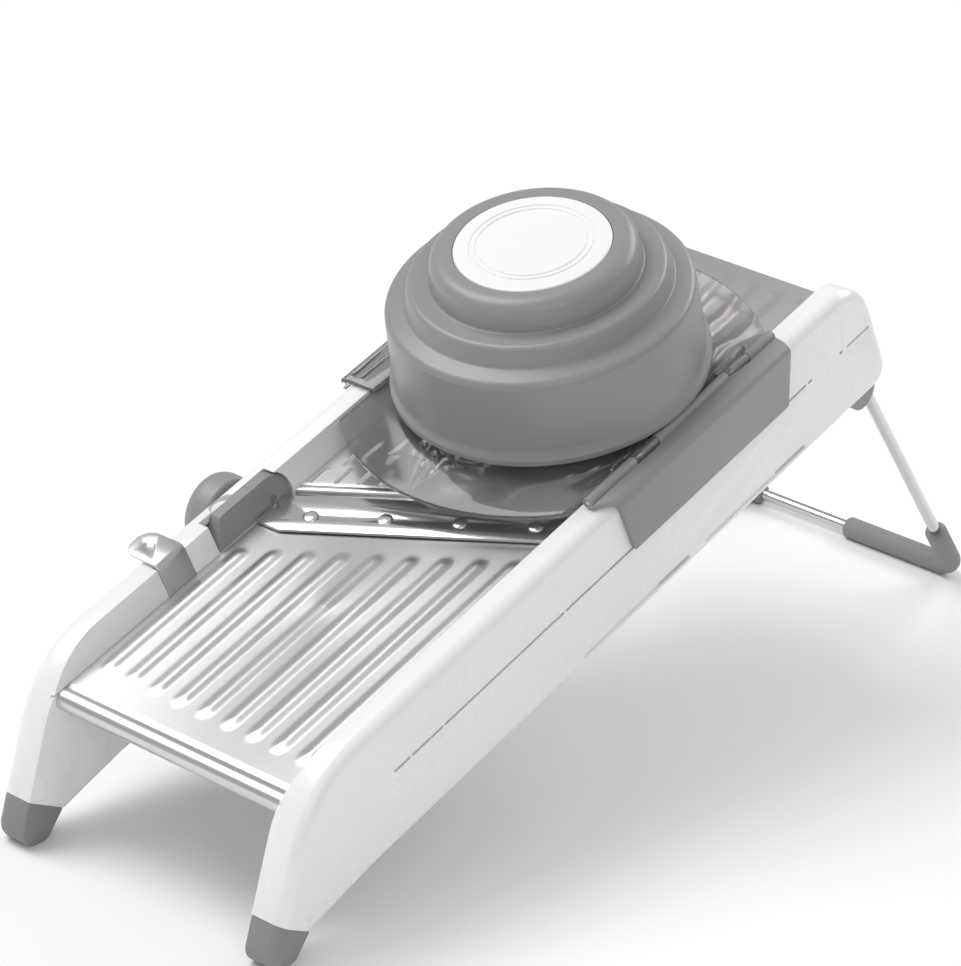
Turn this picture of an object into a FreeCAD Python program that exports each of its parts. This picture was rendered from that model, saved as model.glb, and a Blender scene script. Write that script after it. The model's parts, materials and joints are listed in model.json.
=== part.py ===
import FreeCAD, Part
import math
import os
import Sketcher

# Adjustable mandoline slicer standing on its two front feet and a folding wire stand.
#
# Every piece is drawn in the deck frame: u to the right, v rearwards along the deck from the
# front edge of the run-out plate, w square to the deck from the top of the plates.  The deck
# frame is then tilted about the u axis by each body's Placement, so that the soles of the
# feet and the rubber of the stand lie on Z = 0.  The origin is the middle of the footprint.

SIZES = [
    # frame of the whole slicer
    ("deck_tilt", 18.1, "slope of the deck above the floor, degrees"),
    ("deck_half", 54.7, "half the clear width between the rails at deck level"),
    ("gap", 0.35, "clearance between pieces that move past each other"),
    ("running_fit", 0.06, "radial clearance of a turning shaft in its hole"),
    # rails
    ("rail_width", 14.4, "width of one rail"),
    ("rail_top", 11.5, "height of the rail tops above the deck"),
    ("rail_bevel", 3.4, "outward lean of a rail's inner face above the deck"),
    ("rail_depth", 46.0, "lower edge of the rails below the deck"),
    ("rail_rear", 349.0, "lower rear corner of the rails"),
    ("rail_rear_top", 337.0, "upper rear corner of the rails"),
    ("rail_wall", 2.4, "wall of the hollow rails"),
    ("rail_edge", 4.8, "rounding of the outer edges"),
    ("knee_round", 45.0, "bend of the rail down into the front leg"),
    ("leg_slope", 58.1, "slope of the leg's front below the deck, degrees"),
    ("toe_reach", 38.0, "corner of the toe in front of the plate's edge"),
    ("toe_depth", 51.35, "corner of the toe below the deck"),
    ("toe_round", 7.0, "rounding of the toe"),
    ("sole_length", 15.2, "length of the sole along the floor"),
    ("cap_height", 20.0, "height of the rubber foot up the leg's front"),
    ("heel_reach", 13.0, "heel of the foot in front of the plate's edge"),
    ("heel_depth", 48.5, "heel of the foot below the deck"),
    # bars between the rails
    ("front_bar_v", 34.0, "front cross bar along the deck"),
    ("front_bar_depth", 8.0, "front cross bar below the deck"),
    ("rear_bar_v", 300.0, "rear cross bar along the deck"),
    ("rear_bar_depth", 20.0, "rear cross bar below the deck"),
    ("bar_length", 14.0, "length of a cross bar along the deck"),
    ("bar_height", 12.0, "height of a cross bar"),
    ("screw_radius", 1.5, "radius of the cross bar screws"),
    ("screw_length", 10.0, "grip of the screws in a cross bar"),
    # side slots of the rails
    ("slot_depth_low", 13.6, "long slot line below the deck"),
    ("slot_width", 1.3, "width of the long slot line"),
    ("recess_depth_low", 40.6, "finger recesses below the deck"),
    ("recess_width", 2.2, "width of the finger recesses"),
    # plates
    ("sheet", 0.8, "thickness of the plates"),
    ("plate_catch", 1.3, "how far the run-out plate's edges reach into the rails"),
    ("hem_radius", 4.2, "rolled front edge of the run-out plate"),
    ("rib_pitch", 12.0, "spacing of the ribs"),
    ("rib_width", 7.2, "width of one rib"),
    ("rib_height", 1.2, "height of one rib"),
    ("rib_front", 15.2, "front ends of the run-out plate's ribs"),
    ("diagonal", 25.6, "angle of the blade across the deck, degrees"),
    ("run_out_end", 144.0, "rear edge of the run-out plate on the centre line"),
    ("run_out_ribs_end", 118.0, "rear ends of its ribs on the centre line"),
    ("lip_front", 157.5, "front edge of the run-in plate on the centre line"),
    ("lip_width", 3.4, "width of the rolled lip of the run-in plate"),
    ("lip_height", 3.2, "height of the rolled lip"),
    ("run_in_ribs", 213.0, "front ends of the run-in plate's ribs on the centre line"),
    ("run_in_ribs_end", 325.0, "rear ends of the run-in plate's ribs"),
    ("run_in_end", 331.0, "rear edge of the run-in plate"),
    ("perforation_front", 168.0, "first row of slots on the centre line"),
    ("perforation_row", 12.1, "spacing of the rows of slots"),
    ("perforation_pitch", 8.2, "spacing of the slots in a row"),
    ("perforation_length", 10.6, "length of one slot"),
    ("perforation_width", 2.4, "width of one slot"),
    # blade
    ("blade_front", 129.5, "front edge of the blade plate on the centre line"),
    ("blade_edge", 152.6, "cutting edge on the centre line"),
    ("blade_corner", 108.8, "square front end of the blade plate at the left rail"),
    ("blade_thick", 1.2, "thickness of the blade plate"),
    ("blade_bevel", 0.7, "ground bevel of the cutting edge"),
    ("carrier_thick", 0.5, "spacer under the blade plate"),
    ("rivet_line", 138.7, "row of rivets on the centre line"),
    ("rivet_pitch", 26.4, "spacing of the rivets"),
    ("rivet_first", -37.1, "leftmost rivet"),
    ("rivet_head", 3.1, "radius of a rivet head"),
    ("rivet_shank", 1.5, "radius of a rivet shank"),
    # thickness dial
    ("dial_v", 112.6, "axis of the thickness dial along the deck"),
    ("dial_depth", 7.5, "axis of the thickness dial below the deck"),
    ("dial_radius", 16.2, "radius of the knob"),
    ("knob_gap", 3.4, "gap from the knob to the rail, clear of the food holder's guide"),
    ("dial_thick", 12.6, "thickness of the knob"),
    ("dial_shaft", 3.0, "radius of the dial's shaft"),
    ("crank_radius", 9.0, "throw of the cranks"),
    ("crank_angle", 10.0, "angle of the cranks above the deck line at rest, degrees"),
    ("crank_pin", 1.6, "radius of the crank pins"),
    # frame under the run-in plate
    ("beam_inset", 0.8, "gap from the frame under the run-in plate to the rails"),
    ("beam_width", 4.4, "width of its side beams"),
    ("beam_depth", 8.5, "lower face of its side beams below the deck"),
    ("arm_top", 2.2, "top of its lifting arms below the deck"),
    ("hinge_v", 326.0, "hinge rod of the run-in plate along the deck"),
    ("hinge_depth", 5.0, "hinge rod below the deck"),
    ("hinge_rod", 2.0, "radius of the hinge rod"),
    # julienne comb and its selector tab
    ("tab_front", 59.6, "front edge of the selector tab"),
    ("tab_width", 14.8, "width of the selector tab"),
    ("tab_reach", 76.4, "outer end of the selector tab from the centre line"),
    ("tab_sheet", 1.2, "thickness of the selector tab"),
    ("dimple_radius", 3.9, "radius of the thumb dimple"),
    ("comb_line", 155.2, "julienne comb on the centre line"),
    ("comb_thick", 1.0, "thickness of the comb along the deck"),
    ("comb_half", 46.0, "half the length of the comb across the deck"),
    ("comb_low", 17.0, "lower edge of the comb below the deck"),
    ("comb_shoulder", 4.5, "roots of the comb teeth below the deck"),
    ("comb_tip", 1.2, "tips of the comb teeth below the deck at rest"),
    ("comb_pitch", 7.0, "spacing of the comb teeth"),
    # blade lock lever
    ("lock_v", 121.0, "pivot of the blade lock along the deck"),
    ("lock_w", 2.5, "pivot of the blade lock above the deck"),
    ("lock_radius", 9.0, "radius of the round rear end of the lock"),
    ("lock_clear", 1.1, "room around its round end, for its top edge to swing through"),
    ("lock_front", 88.3, "lower front corner of the lock"),
    ("lock_lean", 6.5, "how far the lock's front leans back over its height"),
    ("lock_width", 7.9, "width of the lock"),
    ("lock_pin", 1.5, "radius of the lock's pivot pin"),
    # food holder
    ("holder_v", 225.3, "axis of the food holder along the deck"),
    ("tray_radius", 84.0, "radius of the clear tray"),
    ("tray_low", 9.2, "underside of the tray above the deck"),
    ("tray_thick", 2.0, "thickness of the tray"),
    ("tray_half", 56.6, "half the width of the tray between the rails"),
    ("well_radius", 50.0, "inner radius of the food well"),
    ("well_wall", 2.0, "wall of the food well"),
    ("well_low", 2.5, "lower rim of the food well above the deck"),
    ("collar_radius", 58.4, "outer radius of the collar inside the cup"),
    ("collar_low", 15.0, "underside of the ring that carries the collar"),
    ("collar_top", 26.0, "top of the collar"),
    ("prong_length", 6.6, "length of the tray's prongs"),
    # guides on the rails
    ("guide_under", 12.2, "underside of the guides above the deck"),
    ("guide_thick", 1.9, "wall of the guides"),
    ("guide_clear", 0.6, "gap from a guide to the outer face of the rail"),
    ("left_guide_front", 182.0, "front end of the left guide"),
    ("left_guide_rear", 280.0, "rear end of the left guide"),
    ("left_skirt", 8.4, "lower edge of the left guide above the deck"),
    ("right_guide_front", 167.5, "front end of the right guide at its hinge"),
    ("right_guide_rear", 284.5, "rear end of the right guide at its hinge"),
    ("right_skirt", 12.6, "lower edge of the right guide below the deck"),
    ("barrel_u", 61.6, "hinge of the right guide from the centre line"),
    ("barrel_w", 14.4, "hinge of the right guide above the deck"),
    ("barrel_radius", 2.1, "radius of the guide's hinge barrels"),
    ("barrel_pin", 1.0, "radius of the guide's hinge pin"),
    ("guide_slant_top", 7.5, "slant of the right guide's ends across its top"),
    ("guide_slant_rear", 1.2, "slant of its rear end across its top"),
    ("guide_slant_side", 5.0, "slant of its ends down its side"),
    ("knuckle_front", 203.0, "front hinge knuckle along the deck"),
    ("knuckle_rear", 261.5, "rear hinge knuckle along the deck"),
    ("knuckle_length", 13.4, "length of a hinge knuckle"),
    # pusher
    ("cup_rim", 17.2, "rim of the cup above the deck"),
    ("cup_radius", 62.6, "radius of the cup's rim"),
    ("cup_wall", 2.2, "wall of the cup"),
    ("cup_top", 75.0, "top of the cup above the deck"),
    ("cap_radius", 30.5, "radius of the white cap"),
    ("cap_thick", 2.6, "thickness of the white cap"),
    ("plate_radius", 46.0, "radius of the spring-loaded prong plate"),
    ("plate_low", 21.0, "underside of the prong plate above the deck"),
    ("shoulder_w", 53.0, "shoulder of the cup above the deck"),
    ("bulge_radius", 49.5, "radius of the roll between the shoulder and the upper cylinder"),
    ("neck_w", 63.0, "foot of the cup's upper cylinder above the deck"),
    ("neck_radius", 39.6, "radius of the cup's upper cylinder"),
    ("guide_w", 42.0, "lower end of the stem's guide above the deck"),
    ("stem_radius", 6.0, "radius of the prong plate's stem"),
    ("washer_radius", 8.0, "radius of the washer that holds the stem"),
    ("spring_radius", 13.5, "mean radius of the prong spring"),
    ("spring_wire", 0.8, "radius of its wire"),
    # wire stand
    ("stand_v", 336.0, "pivot of the stand along the deck"),
    ("stand_depth", 40.0, "pivot of the stand below the deck"),
    ("stand_half", 57.5, "half the width of the wire stand at its foot, to its centre line"),
    ("stand_splay", 4.0, "how much further out each of its legs is at the top"),
    ("stub_bend", 3.0, "bend from a leg into its pivot stub"),
    ("stand_lean", 40.3, "lean of the open stand from upright, degrees"),
    ("wire_radius", 2.5, "radius of the stand's wire"),
    ("wire_bend", 9.0, "bend radius of the wire"),
    ("sleeve_radius", 4.75, "radius of the rubber sleeves"),
    ("sleeve_leg", 33.0, "length of a sleeve up the leg"),
    ("sleeve_bar_left", 14.0, "length of the left sleeve along the crossbar"),
    ("sleeve_bar_right", 56.0, "length of the right sleeve along the crossbar"),
    ("clip_radius", 8.2, "radius of the clips that hold the wire's ends"),
]

ORIGIN_PLANES = {"XY": "XY_Plane", "XZ": "XZ_Plane", "YZ": "YZ_Plane"}


class Size:
    """A number together with the spreadsheet expression that it comes from."""

    def __init__(self, value, text=None):
        self.value = value
        self.text = repr(round(value, 6)) if text is None else text

    @property
    def driven(self):
        return "Sizes." in self.text

    def __add__(self, other):
        other = sized(other)
        return Size(self.value + other.value, f"({self.text} + {other.text})")

    def __sub__(self, other):
        other = sized(other)
        return Size(self.value - other.value, f"({self.text} - {other.text})")

    def __mul__(self, other):
        other = sized(other)
        return Size(self.value * other.value, f"({self.text} * {other.text})")

    def __truediv__(self, other):
        other = sized(other)
        return Size(self.value / other.value, f"({self.text} / {other.text})")

    def __neg__(self):
        return Size(-self.value, f"(-1 * {self.text})")

    def __radd__(self, other):
        return sized(other) + self

    def __rsub__(self, other):
        return sized(other) - self

    def __rmul__(self, other):
        return sized(other) * self

    def __rtruediv__(self, other):
        return sized(other) / self


def sized(number):
    return number if isinstance(number, Size) else Size(float(number))


def sine(angle):
    angle = sized(angle)
    return Size(math.sin(math.radians(angle.value)), f"sin({angle.text})")


def cosine(angle):
    angle = sized(angle)
    return Size(math.cos(math.radians(angle.value)), f"cos({angle.text})")


def tangent(angle):
    angle = sized(angle)
    return Size(math.tan(math.radians(angle.value)), f"tan({angle.text})")


class Sheet:
    """The driving sizes as attributes."""

    def __init__(self, document):
        cells = document.addObject("Spreadsheet::Sheet", "Sizes")
        for row, (name, value, meaning) in enumerate(SIZES, start=1):
            cells.set(f"A{row}", name)
            cells.set(f"B{row}", str(value))
            cells.set(f"C{row}", meaning)
            cells.setAlias(f"B{row}", name)
            setattr(self, name, Size(value, f"Sizes.{name}"))
        document.recompute()


doc = FreeCAD.newDocument("MandolineSlicer")
S = Sheet(doc)
pieces = []

# ---------------------------------------------------------------- where the deck stands

sole_lift = S.toe_reach * sine(S.deck_tilt) + S.toe_depth * cosine(S.deck_tilt)
toe_v = -S.toe_reach
toe_w = -S.toe_depth
toe_y = toe_v * cosine(S.deck_tilt) - toe_w * sine(S.deck_tilt)
front_y = toe_y + S.toe_round / tangent((S.leg_slope + S.deck_tilt) / 2) - S.toe_round
stand_y = S.stand_v * cosine(S.deck_tilt) + S.stand_depth * sine(S.deck_tilt)
stand_z = sole_lift + S.stand_v * sine(S.deck_tilt) - S.stand_depth * cosine(S.deck_tilt)
leg_length = (stand_z - S.sleeve_radius) / cosine(S.stand_lean)
rear_y = stand_y + leg_length * sine(S.stand_lean) + S.sleeve_radius
middle_y = (front_y + rear_y) / 2

rail_outer = S.deck_half + S.rail_width
guide_outer = rail_outer + S.guide_clear + S.guide_thick
knob_inner = rail_outer + S.knob_gap
knob_outer = knob_inner + S.dial_thick
middle_u = (guide_outer - knob_outer) / 2

slope = tangent(S.diagonal)


def diagonal(on_centre, u):
    """Place along the deck of a line parallel to the blade."""
    return on_centre + slope * u


# ---------------------------------------------------------------- drawing tools


def bind(thing, path, size):
    if size.driven:
        thing.setExpression(path, size.text)


def piece(label, u=0.0, v=0.0, w=0.0, lean=None):
    """A body whose own origin lies at (u, v, w) of the deck frame."""
    body = doc.addObject("PartDesign::Body", label)
    body.Label = label
    body.AllowCompound = True
    u, v, w = sized(u), sized(v), sized(w)
    x = u - middle_u
    y = v * cosine(S.deck_tilt) - w * sine(S.deck_tilt) - middle_y
    z = v * sine(S.deck_tilt) + w * cosine(S.deck_tilt) + sole_lift
    angle = S.deck_tilt if lean is None else lean
    body.Placement = FreeCAD.Placement(
        FreeCAD.Vector(x.value, y.value, z.value),
        FreeCAD.Rotation(FreeCAD.Vector(1, 0, 0), angle.value),
    )
    bind(body, "Placement.Base.x", x)
    bind(body, "Placement.Base.y", y)
    bind(body, "Placement.Base.z", z)
    bind(body, "Placement.Rotation.Angle", angle)
    pieces.append(body)
    return body


def new_sketch(body, plane, height):
    """A sketch parallel to an origin plane; height is measured along the plane's sketch normal."""
    sketch = body.newObject("Sketcher::SketchObject", "Sketch")
    support = [f for f in body.Origin.OriginFeatures if f.Role == ORIGIN_PLANES[plane]][0]
    sketch.AttachmentSupport = [(support, "")]
    sketch.MapMode = "FlatFace"
    sketch.AttachmentOffset = FreeCAD.Placement(
        FreeCAD.Vector(0, 0, height.value), FreeCAD.Rotation()
    )
    bind(sketch, "AttachmentOffset.Base.z", height)
    return sketch


def pin_down(sketch, geometry, point, x, y):
    """Fixes a point of a sketch at (x, y)."""
    for kind, size in (("DistanceX", sized(x)), ("DistanceY", sized(y))):
        number = sketch.addConstraint(
            Sketcher.Constraint(kind, -1, 1, geometry, point, size.value)
        )
        bind(sketch, f"Constraints[{number}]", size)


def set_radius(sketch, geometry, size):
    size = sized(size)
    number = sketch.addConstraint(Sketcher.Constraint("Radius", geometry, size.value))
    bind(sketch, f"Constraints[{number}]", size)


def flat(x, y):
    return FreeCAD.Vector(x, y, 0)


def outline(sketch, corners, closed=True):
    """Straight lines from corner to corner; one given as (x, y, radius) is rounded by an arc."""
    count = len(corners)
    spots = [flat(sized(c[0]).value, sized(c[1]).value) for c in corners]
    entry, leave = [], []
    for i, corner in enumerate(corners):
        if len(corner) == 2:
            entry.append(spots[i])
            leave.append(spots[i])
            continue
        back = (spots[i - 1] - spots[i]).normalize()
        ahead = (spots[(i + 1) % count] - spots[i]).normalize()
        half = back.getAngle(ahead) / 2
        reach = sized(corner[2]).value / math.tan(half)
        entry.append(spots[i] + back * reach)
        leave.append(spots[i] + ahead * reach)
    lines = [
        sketch.addGeometry(Part.LineSegment(leave[i], entry[(i + 1) % count]), False)
        for i in range(count if closed else count - 1)
    ]
    if not closed:
        pin_down(sketch, lines[0], 1, corners[0][0], corners[0][1])
        pin_down(sketch, lines[-1], 2, corners[-1][0], corners[-1][1])
    for i, corner in enumerate(corners):
        if not closed and i in (0, count - 1):
            continue
        before, after = lines[i - 1], lines[i]
        if len(corner) == 2:
            sketch.addConstraint(Sketcher.Constraint("Coincident", before, 2, after, 1))
            pin_down(sketch, after, 1, corner[0], corner[1])
            continue
        radius = sized(corner[2]).value
        inward = ((entry[i] - spots[i]).normalize() + (leave[i] - spots[i]).normalize()).normalize()
        reach = (entry[i] - spots[i]).Length
        centre = spots[i] + inward * math.hypot(radius, reach)
        middle = centre - inward * radius
        arc = sketch.addGeometry(Part.Arc(entry[i], middle, leave[i]), False)
        starts = (sketch.getPoint(arc, 1) - entry[i]).Length < 1e-6
        near, far = (1, 2) if starts else (2, 1)
        sketch.addConstraint(Sketcher.Constraint("Tangent", before, 2, arc, near))
        sketch.addConstraint(Sketcher.Constraint("Tangent", after, 1, arc, far))
        set_radius(sketch, arc, corner[2])
        corner_point = sketch.addGeometry(Part.Point(spots[i]), True)
        sketch.addConstraint(Sketcher.Constraint("PointOnObject", corner_point, 1, before))
        sketch.addConstraint(Sketcher.Constraint("PointOnObject", corner_point, 1, after))
        pin_down(sketch, corner_point, 1, corner[0], corner[1])


def disc(sketch, x, y, radius):
    x, y, radius = sized(x), sized(y), sized(radius)
    circle = Part.Circle(flat(x.value, y.value), FreeCAD.Vector(0, 0, 1), radius.value)
    number = sketch.addGeometry(circle, False)
    pin_down(sketch, number, 3, x, y)
    set_radius(sketch, number, radius)


def long_slot(sketch, x, low, high, width):
    """A slot with round ends along the sketch's vertical; low and high are its ends."""
    x, low, high, width = sized(x), sized(low), sized(high), sized(width)
    radius = width / 2
    first, last = low + radius, high - radius
    left, right = x.value - radius.value, x.value + radius.value
    up = FreeCAD.Vector(0, 0, 1)
    a = sketch.addGeometry(
        Part.LineSegment(flat(right, first.value), flat(right, last.value)), False
    )
    b = sketch.addGeometry(
        Part.LineSegment(flat(left, last.value), flat(left, first.value)), False
    )
    round_end = Part.Circle(flat(x.value, last.value), up, radius.value)
    round_start = Part.Circle(flat(x.value, first.value), up, radius.value)
    top = sketch.addGeometry(Part.ArcOfCircle(round_end, 0, math.pi), False)
    low_arc = sketch.addGeometry(Part.ArcOfCircle(round_start, math.pi, 2 * math.pi), False)
    sketch.addConstraint(Sketcher.Constraint("Tangent", a, 2, top, 1))
    sketch.addConstraint(Sketcher.Constraint("Tangent", b, 1, top, 2))
    sketch.addConstraint(Sketcher.Constraint("Tangent", b, 2, low_arc, 1))
    sketch.addConstraint(Sketcher.Constraint("Tangent", a, 1, low_arc, 2))
    sketch.addConstraint(Sketcher.Constraint("Vertical", a))
    sketch.addConstraint(Sketcher.Constraint("Vertical", b))
    pin_down(sketch, low_arc, 3, x, first)
    number = sketch.addConstraint(
        Sketcher.Constraint("DistanceY", -1, 1, top, 3, last.value)
    )
    bind(sketch, f"Constraints[{number}]", last)
    set_radius(sketch, top, radius)


def block(body, plane, low, high, draw, cut=False):
    """Pads, or cuts, a drawn outline between two places along the axis square to the plane."""
    low, high = sorted((sized(low), sized(high)), key=lambda size: size.value)
    if plane == "XZ":
        # the sketch normal of this plane points forwards, towards -Y
        height = -low if cut else -high
    else:
        height = high if cut else low
    sketch = new_sketch(body, plane, height)
    draw(sketch)
    kind = "PartDesign::Pocket" if cut else "PartDesign::Pad"
    feature = body.newObject(kind, "Cut" if cut else "Block")
    feature.Profile = sketch
    feature.Length = (high - low).value
    bind(feature, "Length", high - low)
    before = body_volume(body)
    doc.recompute()
    if cut and not body_volume(body) < before:
        raise RuntimeError(f"a cut in {body.Label} removed nothing")
    return feature


def body_volume(body):
    shape = body.Shape
    return 0.0 if shape.isNull() else shape.Volume


def turned(body, draw, axis="V_Axis", cut=False):
    """Revolves a drawn half section on the XZ plane about one of the sketch's axes."""
    sketch = new_sketch(body, "XZ", sized(0))
    draw(sketch)
    feature = body.newObject("PartDesign::Groove" if cut else "PartDesign::Revolution", "Turned")
    feature.Profile = sketch
    feature.ReferenceAxis = (sketch, [axis])
    feature.Angle = 360
    doc.recompute()
    return feature


def round_edges(body, radius, wanted):
    """Rounds the edges of the body's tip for which wanted(edge) is true."""
    radius = sized(radius)
    base = body.Tip
    names = [
        f"Edge{i}" for i, edge in enumerate(base.Shape.Edges, start=1) if wanted(edge)
    ]
    if not names:
        raise RuntimeError(f"no edge to round on {body.Label}")
    feature = body.newObject("PartDesign::Fillet", "Rounding")
    feature.Base = (base, names)
    feature.Radius = radius.value
    bind(feature, "Radius", radius)
    doc.recompute()
    return feature


def in_plane(edge, axis, place, slack=0.01):
    """True for an edge that lies in the plane where the given coordinate equals place."""
    box = edge.BoundBox
    low = (box.XMin, box.YMin, box.ZMin)[axis]
    high = (box.XMax, box.YMax, box.ZMax)[axis]
    return abs(low - place) < slack and abs(high - place) < slack


def rectangle(sketch, x_low, x_high, y_low, y_high):
    outline(sketch, [(x_low, y_low), (x_high, y_low), (x_high, y_high), (x_low, y_high)])


def band(sketch, left, right, front, rear):
    """A strip parallel to the blade between two lines given on the centre line."""
    outline(
        sketch,
        [
            (left, diagonal(front, left)),
            (right, diagonal(front, right)),
            (right, diagonal(rear, right)),
            (left, diagonal(rear, left)),
        ],
    )


# ---------------------------------------------------------------- rails and feet

cap_v = toe_v + S.cap_height * cosine(S.leg_slope)
cap_w = toe_w + S.cap_height * sine(S.leg_slope)
knee_v = toe_v + (S.rail_top + S.toe_depth) / tangent(S.leg_slope)
lower_front = 20.0
slot_runs = [(39.5, 48.5), (49.5, 67.0), (68.0, 138.5), (139.5, 293.5), (295.0, 297.5),
             (316.5, 318.5), (321.5, 337.0)]
recess_runs = [(145.6, 212.0), (222.4, 289.0)]
recess_hole = 19.0
recess_floor = 0.9


def rail_profile(sketch):
    outline(
        sketch,
        [
            (cap_v, cap_w),
            (-S.heel_reach, -S.heel_depth),
            (lower_front, -S.rail_depth),
            (S.rail_rear, -S.rail_depth, 9.0),
            (S.rail_rear_top, S.rail_top, 24.0),
            (knee_v, S.rail_top, S.knee_round),
        ],
    )


def rail(side, label):
    body = piece(label)
    inner = S.deck_half * side
    outer = rail_outer * side
    block(body, "YZ", inner, outer, rail_profile)
    # rounded outer edges all the way round, except along the open lower edge and the foot
    low_limit = -S.rail_depth.value + 0.5

    def outer_edge(edge):
        on_joint = edge.BoundBox.YMax < lower_front + 1.0 and edge.BoundBox.ZMax <= cap_w.value + 0.01
        return in_plane(edge, 0, outer.value) and edge.CenterOfMass.z > low_limit and not on_joint

    round_edges(body, S.rail_edge, outer_edge)

    def lean(sketch):
        outline(
            sketch,
            [
                (inner - 3.0 * side, 0.05),
                (inner, 0.05),
                (inner + S.rail_bevel * side, S.rail_top),
                (inner + S.rail_bevel * side, S.rail_top + 3.0),
                (inner - 3.0 * side, S.rail_top + 3.0),
            ],
        )

    block(body, "XZ", -60.0, S.rail_rear + 10.0, lean, cut=True)

    # hollow, open below: a wide part under the deck and a narrower one up to the top
    wide_in = inner + S.rail_wall * side
    wide_out = outer - S.rail_wall * side
    narrow_in = inner + (S.rail_bevel + S.rail_wall) * side
    cavity_front = 12.0
    cavity_rear = S.rail_rear_top - 4.0

    def wide(sketch):
        outline(sketch, [
            (cavity_front, -S.rail_depth - 8.0),
            (S.rail_rear - 6.0, -S.rail_depth - 8.0),
            (S.rail_rear - 6.0, -S.rail_depth),
            (S.rail_rear_top - 2.5, -S.rail_wall),
            (cavity_front, -S.rail_wall),
        ])

    def narrow(sketch):
        rectangle(sketch, 40.0, cavity_rear - 8.0, -8.0, S.rail_top - 3.4)

    block(body, "YZ", wide_in, wide_out, wide, cut=True)
    block(body, "YZ", narrow_in, wide_out - 0.8 * side, narrow, cut=True)

    def groove(sketch):
        rectangle(sketch, inner - 3.0 * side, inner + (S.plate_catch + 0.2) * side,
                  -S.sheet - 0.12, 0.06)

    block(body, "XZ", -6.0, 174.0 if side > 0 else S.lock_front - 0.5, groove, cut=True)

    def long_slots(sketch):
        for start, end in slot_runs:
            rectangle(sketch, start, end, -S.slot_depth_low - S.slot_width / 2,
                      -S.slot_depth_low + S.slot_width / 2)

    block(body, "YZ", outer - (S.rail_wall + 0.5) * side, outer + 2.0 * side, long_slots, cut=True)

    def recesses(sketch):
        for start, end in recess_runs:
            rectangle(sketch, start, end, -S.recess_depth_low - S.recess_width / 2,
                      -S.recess_depth_low + S.recess_width / 2)

    def recess_holes(sketch):
        for start, end in recess_runs:
            rectangle(sketch, end - recess_hole, end, -S.recess_depth_low - S.recess_width / 2,
                      -S.recess_depth_low + S.recess_width / 2)

    block(body, "YZ", outer - recess_floor * side, outer + 2.0 * side, recesses, cut=True)
    block(body, "YZ", outer - (S.rail_wall + 0.5) * side, outer + 2.0 * side, recess_holes,
          cut=True)
    # holes in the inner wall for the hinge rod of the run-in plate and the dial
    for v, depth, radius in (
        (S.hinge_v, S.hinge_depth, S.hinge_rod + 0.02),
        (S.dial_v, S.dial_depth, S.dial_shaft + S.running_fit),
    ):
        block(body, "YZ", inner - 1.0 * side, wide_in + 0.5 * side,
              lambda s, v=v, depth=depth, radius=radius: disc(s, v, -depth, radius), cut=True)
    # screw holes of the cross bars
    block(body, "YZ", inner - 1.0 * side, wide_in + 0.5 * side,
          lambda s: screw_discs(s, S.screw_radius + 0.02), cut=True)
    return body


def bar_places():
    """Centres (v, depth) of the two bars that tie the rails together."""
    return [(S.front_bar_v, S.front_bar_depth), (S.rear_bar_v, S.rear_bar_depth)]


def screw_discs(sketch, radius):
    for v, depth in bar_places():
        for shift in (-S.bar_length / 4, S.bar_length / 4):
            disc(sketch, v + shift, -depth, radius)


def tab_line(out, w):
    """Inner face of the left rail at height w, moved outwards by out."""
    return -(S.deck_half + out + S.rail_bevel * w / S.rail_top)


left_rail = rail(-1, "left_rail")
right_rail = rail(1, "right_rail")

# the left rail also carries the dial's shaft, the selector tab and the blade lock
block(left_rail, "YZ", -rail_outer - 1.0, -rail_outer + S.rail_wall + 0.5,
      lambda s: disc(s, S.dial_v, -S.dial_depth, S.dial_shaft + S.running_fit), cut=True)

tab_cut = S.tab_sheet + S.gap
tab_rear = S.tab_front + S.tab_width


def tab_notch(sketch):
    outline(sketch, [
        (tab_line(-3.0, sized(0.0)), -S.comb_low - 2.0),
        (tab_line(tab_cut, sized(0.0)), -S.comb_low - 2.0),
        (tab_line(tab_cut, sized(0.0)), 0.0),
        (tab_line(tab_cut + 1.2, S.rail_top), S.rail_top),
        (tab_line(tab_cut + 1.2, S.rail_top), S.rail_top + 4.0),
        (tab_line(-3.0, S.rail_top), S.rail_top + 4.0),
    ])


block(left_rail, "XZ", S.tab_front - S.gap, tab_rear + S.gap, tab_notch, cut=True)

lock_in = S.deck_half + 0.2
lock_out = lock_in + S.lock_width


def lock_notch(sketch):
    outline(sketch, [
        (S.lock_front - S.gap, 0.0),
        (S.lock_v, 0.0),
        (S.lock_v, S.rail_top + 4.0),
        (S.lock_front - S.gap, S.rail_top + 4.0),
    ])


block(left_rail, "YZ", -S.deck_half + 3.0, -lock_out - S.gap, lock_notch, cut=True)
block(left_rail, "YZ", -S.deck_half + 3.0, -lock_out - S.gap,
      lambda s: disc(s, S.lock_v, S.lock_w, S.lock_radius + S.lock_clear), cut=True)
# boss and hole for the pivot pin of the lock, and a finger scallop beside the lock
block(left_rail, "YZ", -lock_out - S.gap, -rail_outer + 1.2,
      lambda s: disc(s, S.lock_v, S.lock_w, S.lock_pin + 2.4))
block(left_rail, "YZ", -lock_out + 2.0, -rail_outer + 1.6,
      lambda s: disc(s, S.lock_v, S.lock_w, S.lock_pin + 0.02), cut=True)
block(left_rail, "XY", S.rail_top - 2.2, S.rail_top + 2.0,
      lambda s: disc(s, -lock_out + 1.4, S.lock_front + 13.0, 6.4), cut=True)


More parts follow.
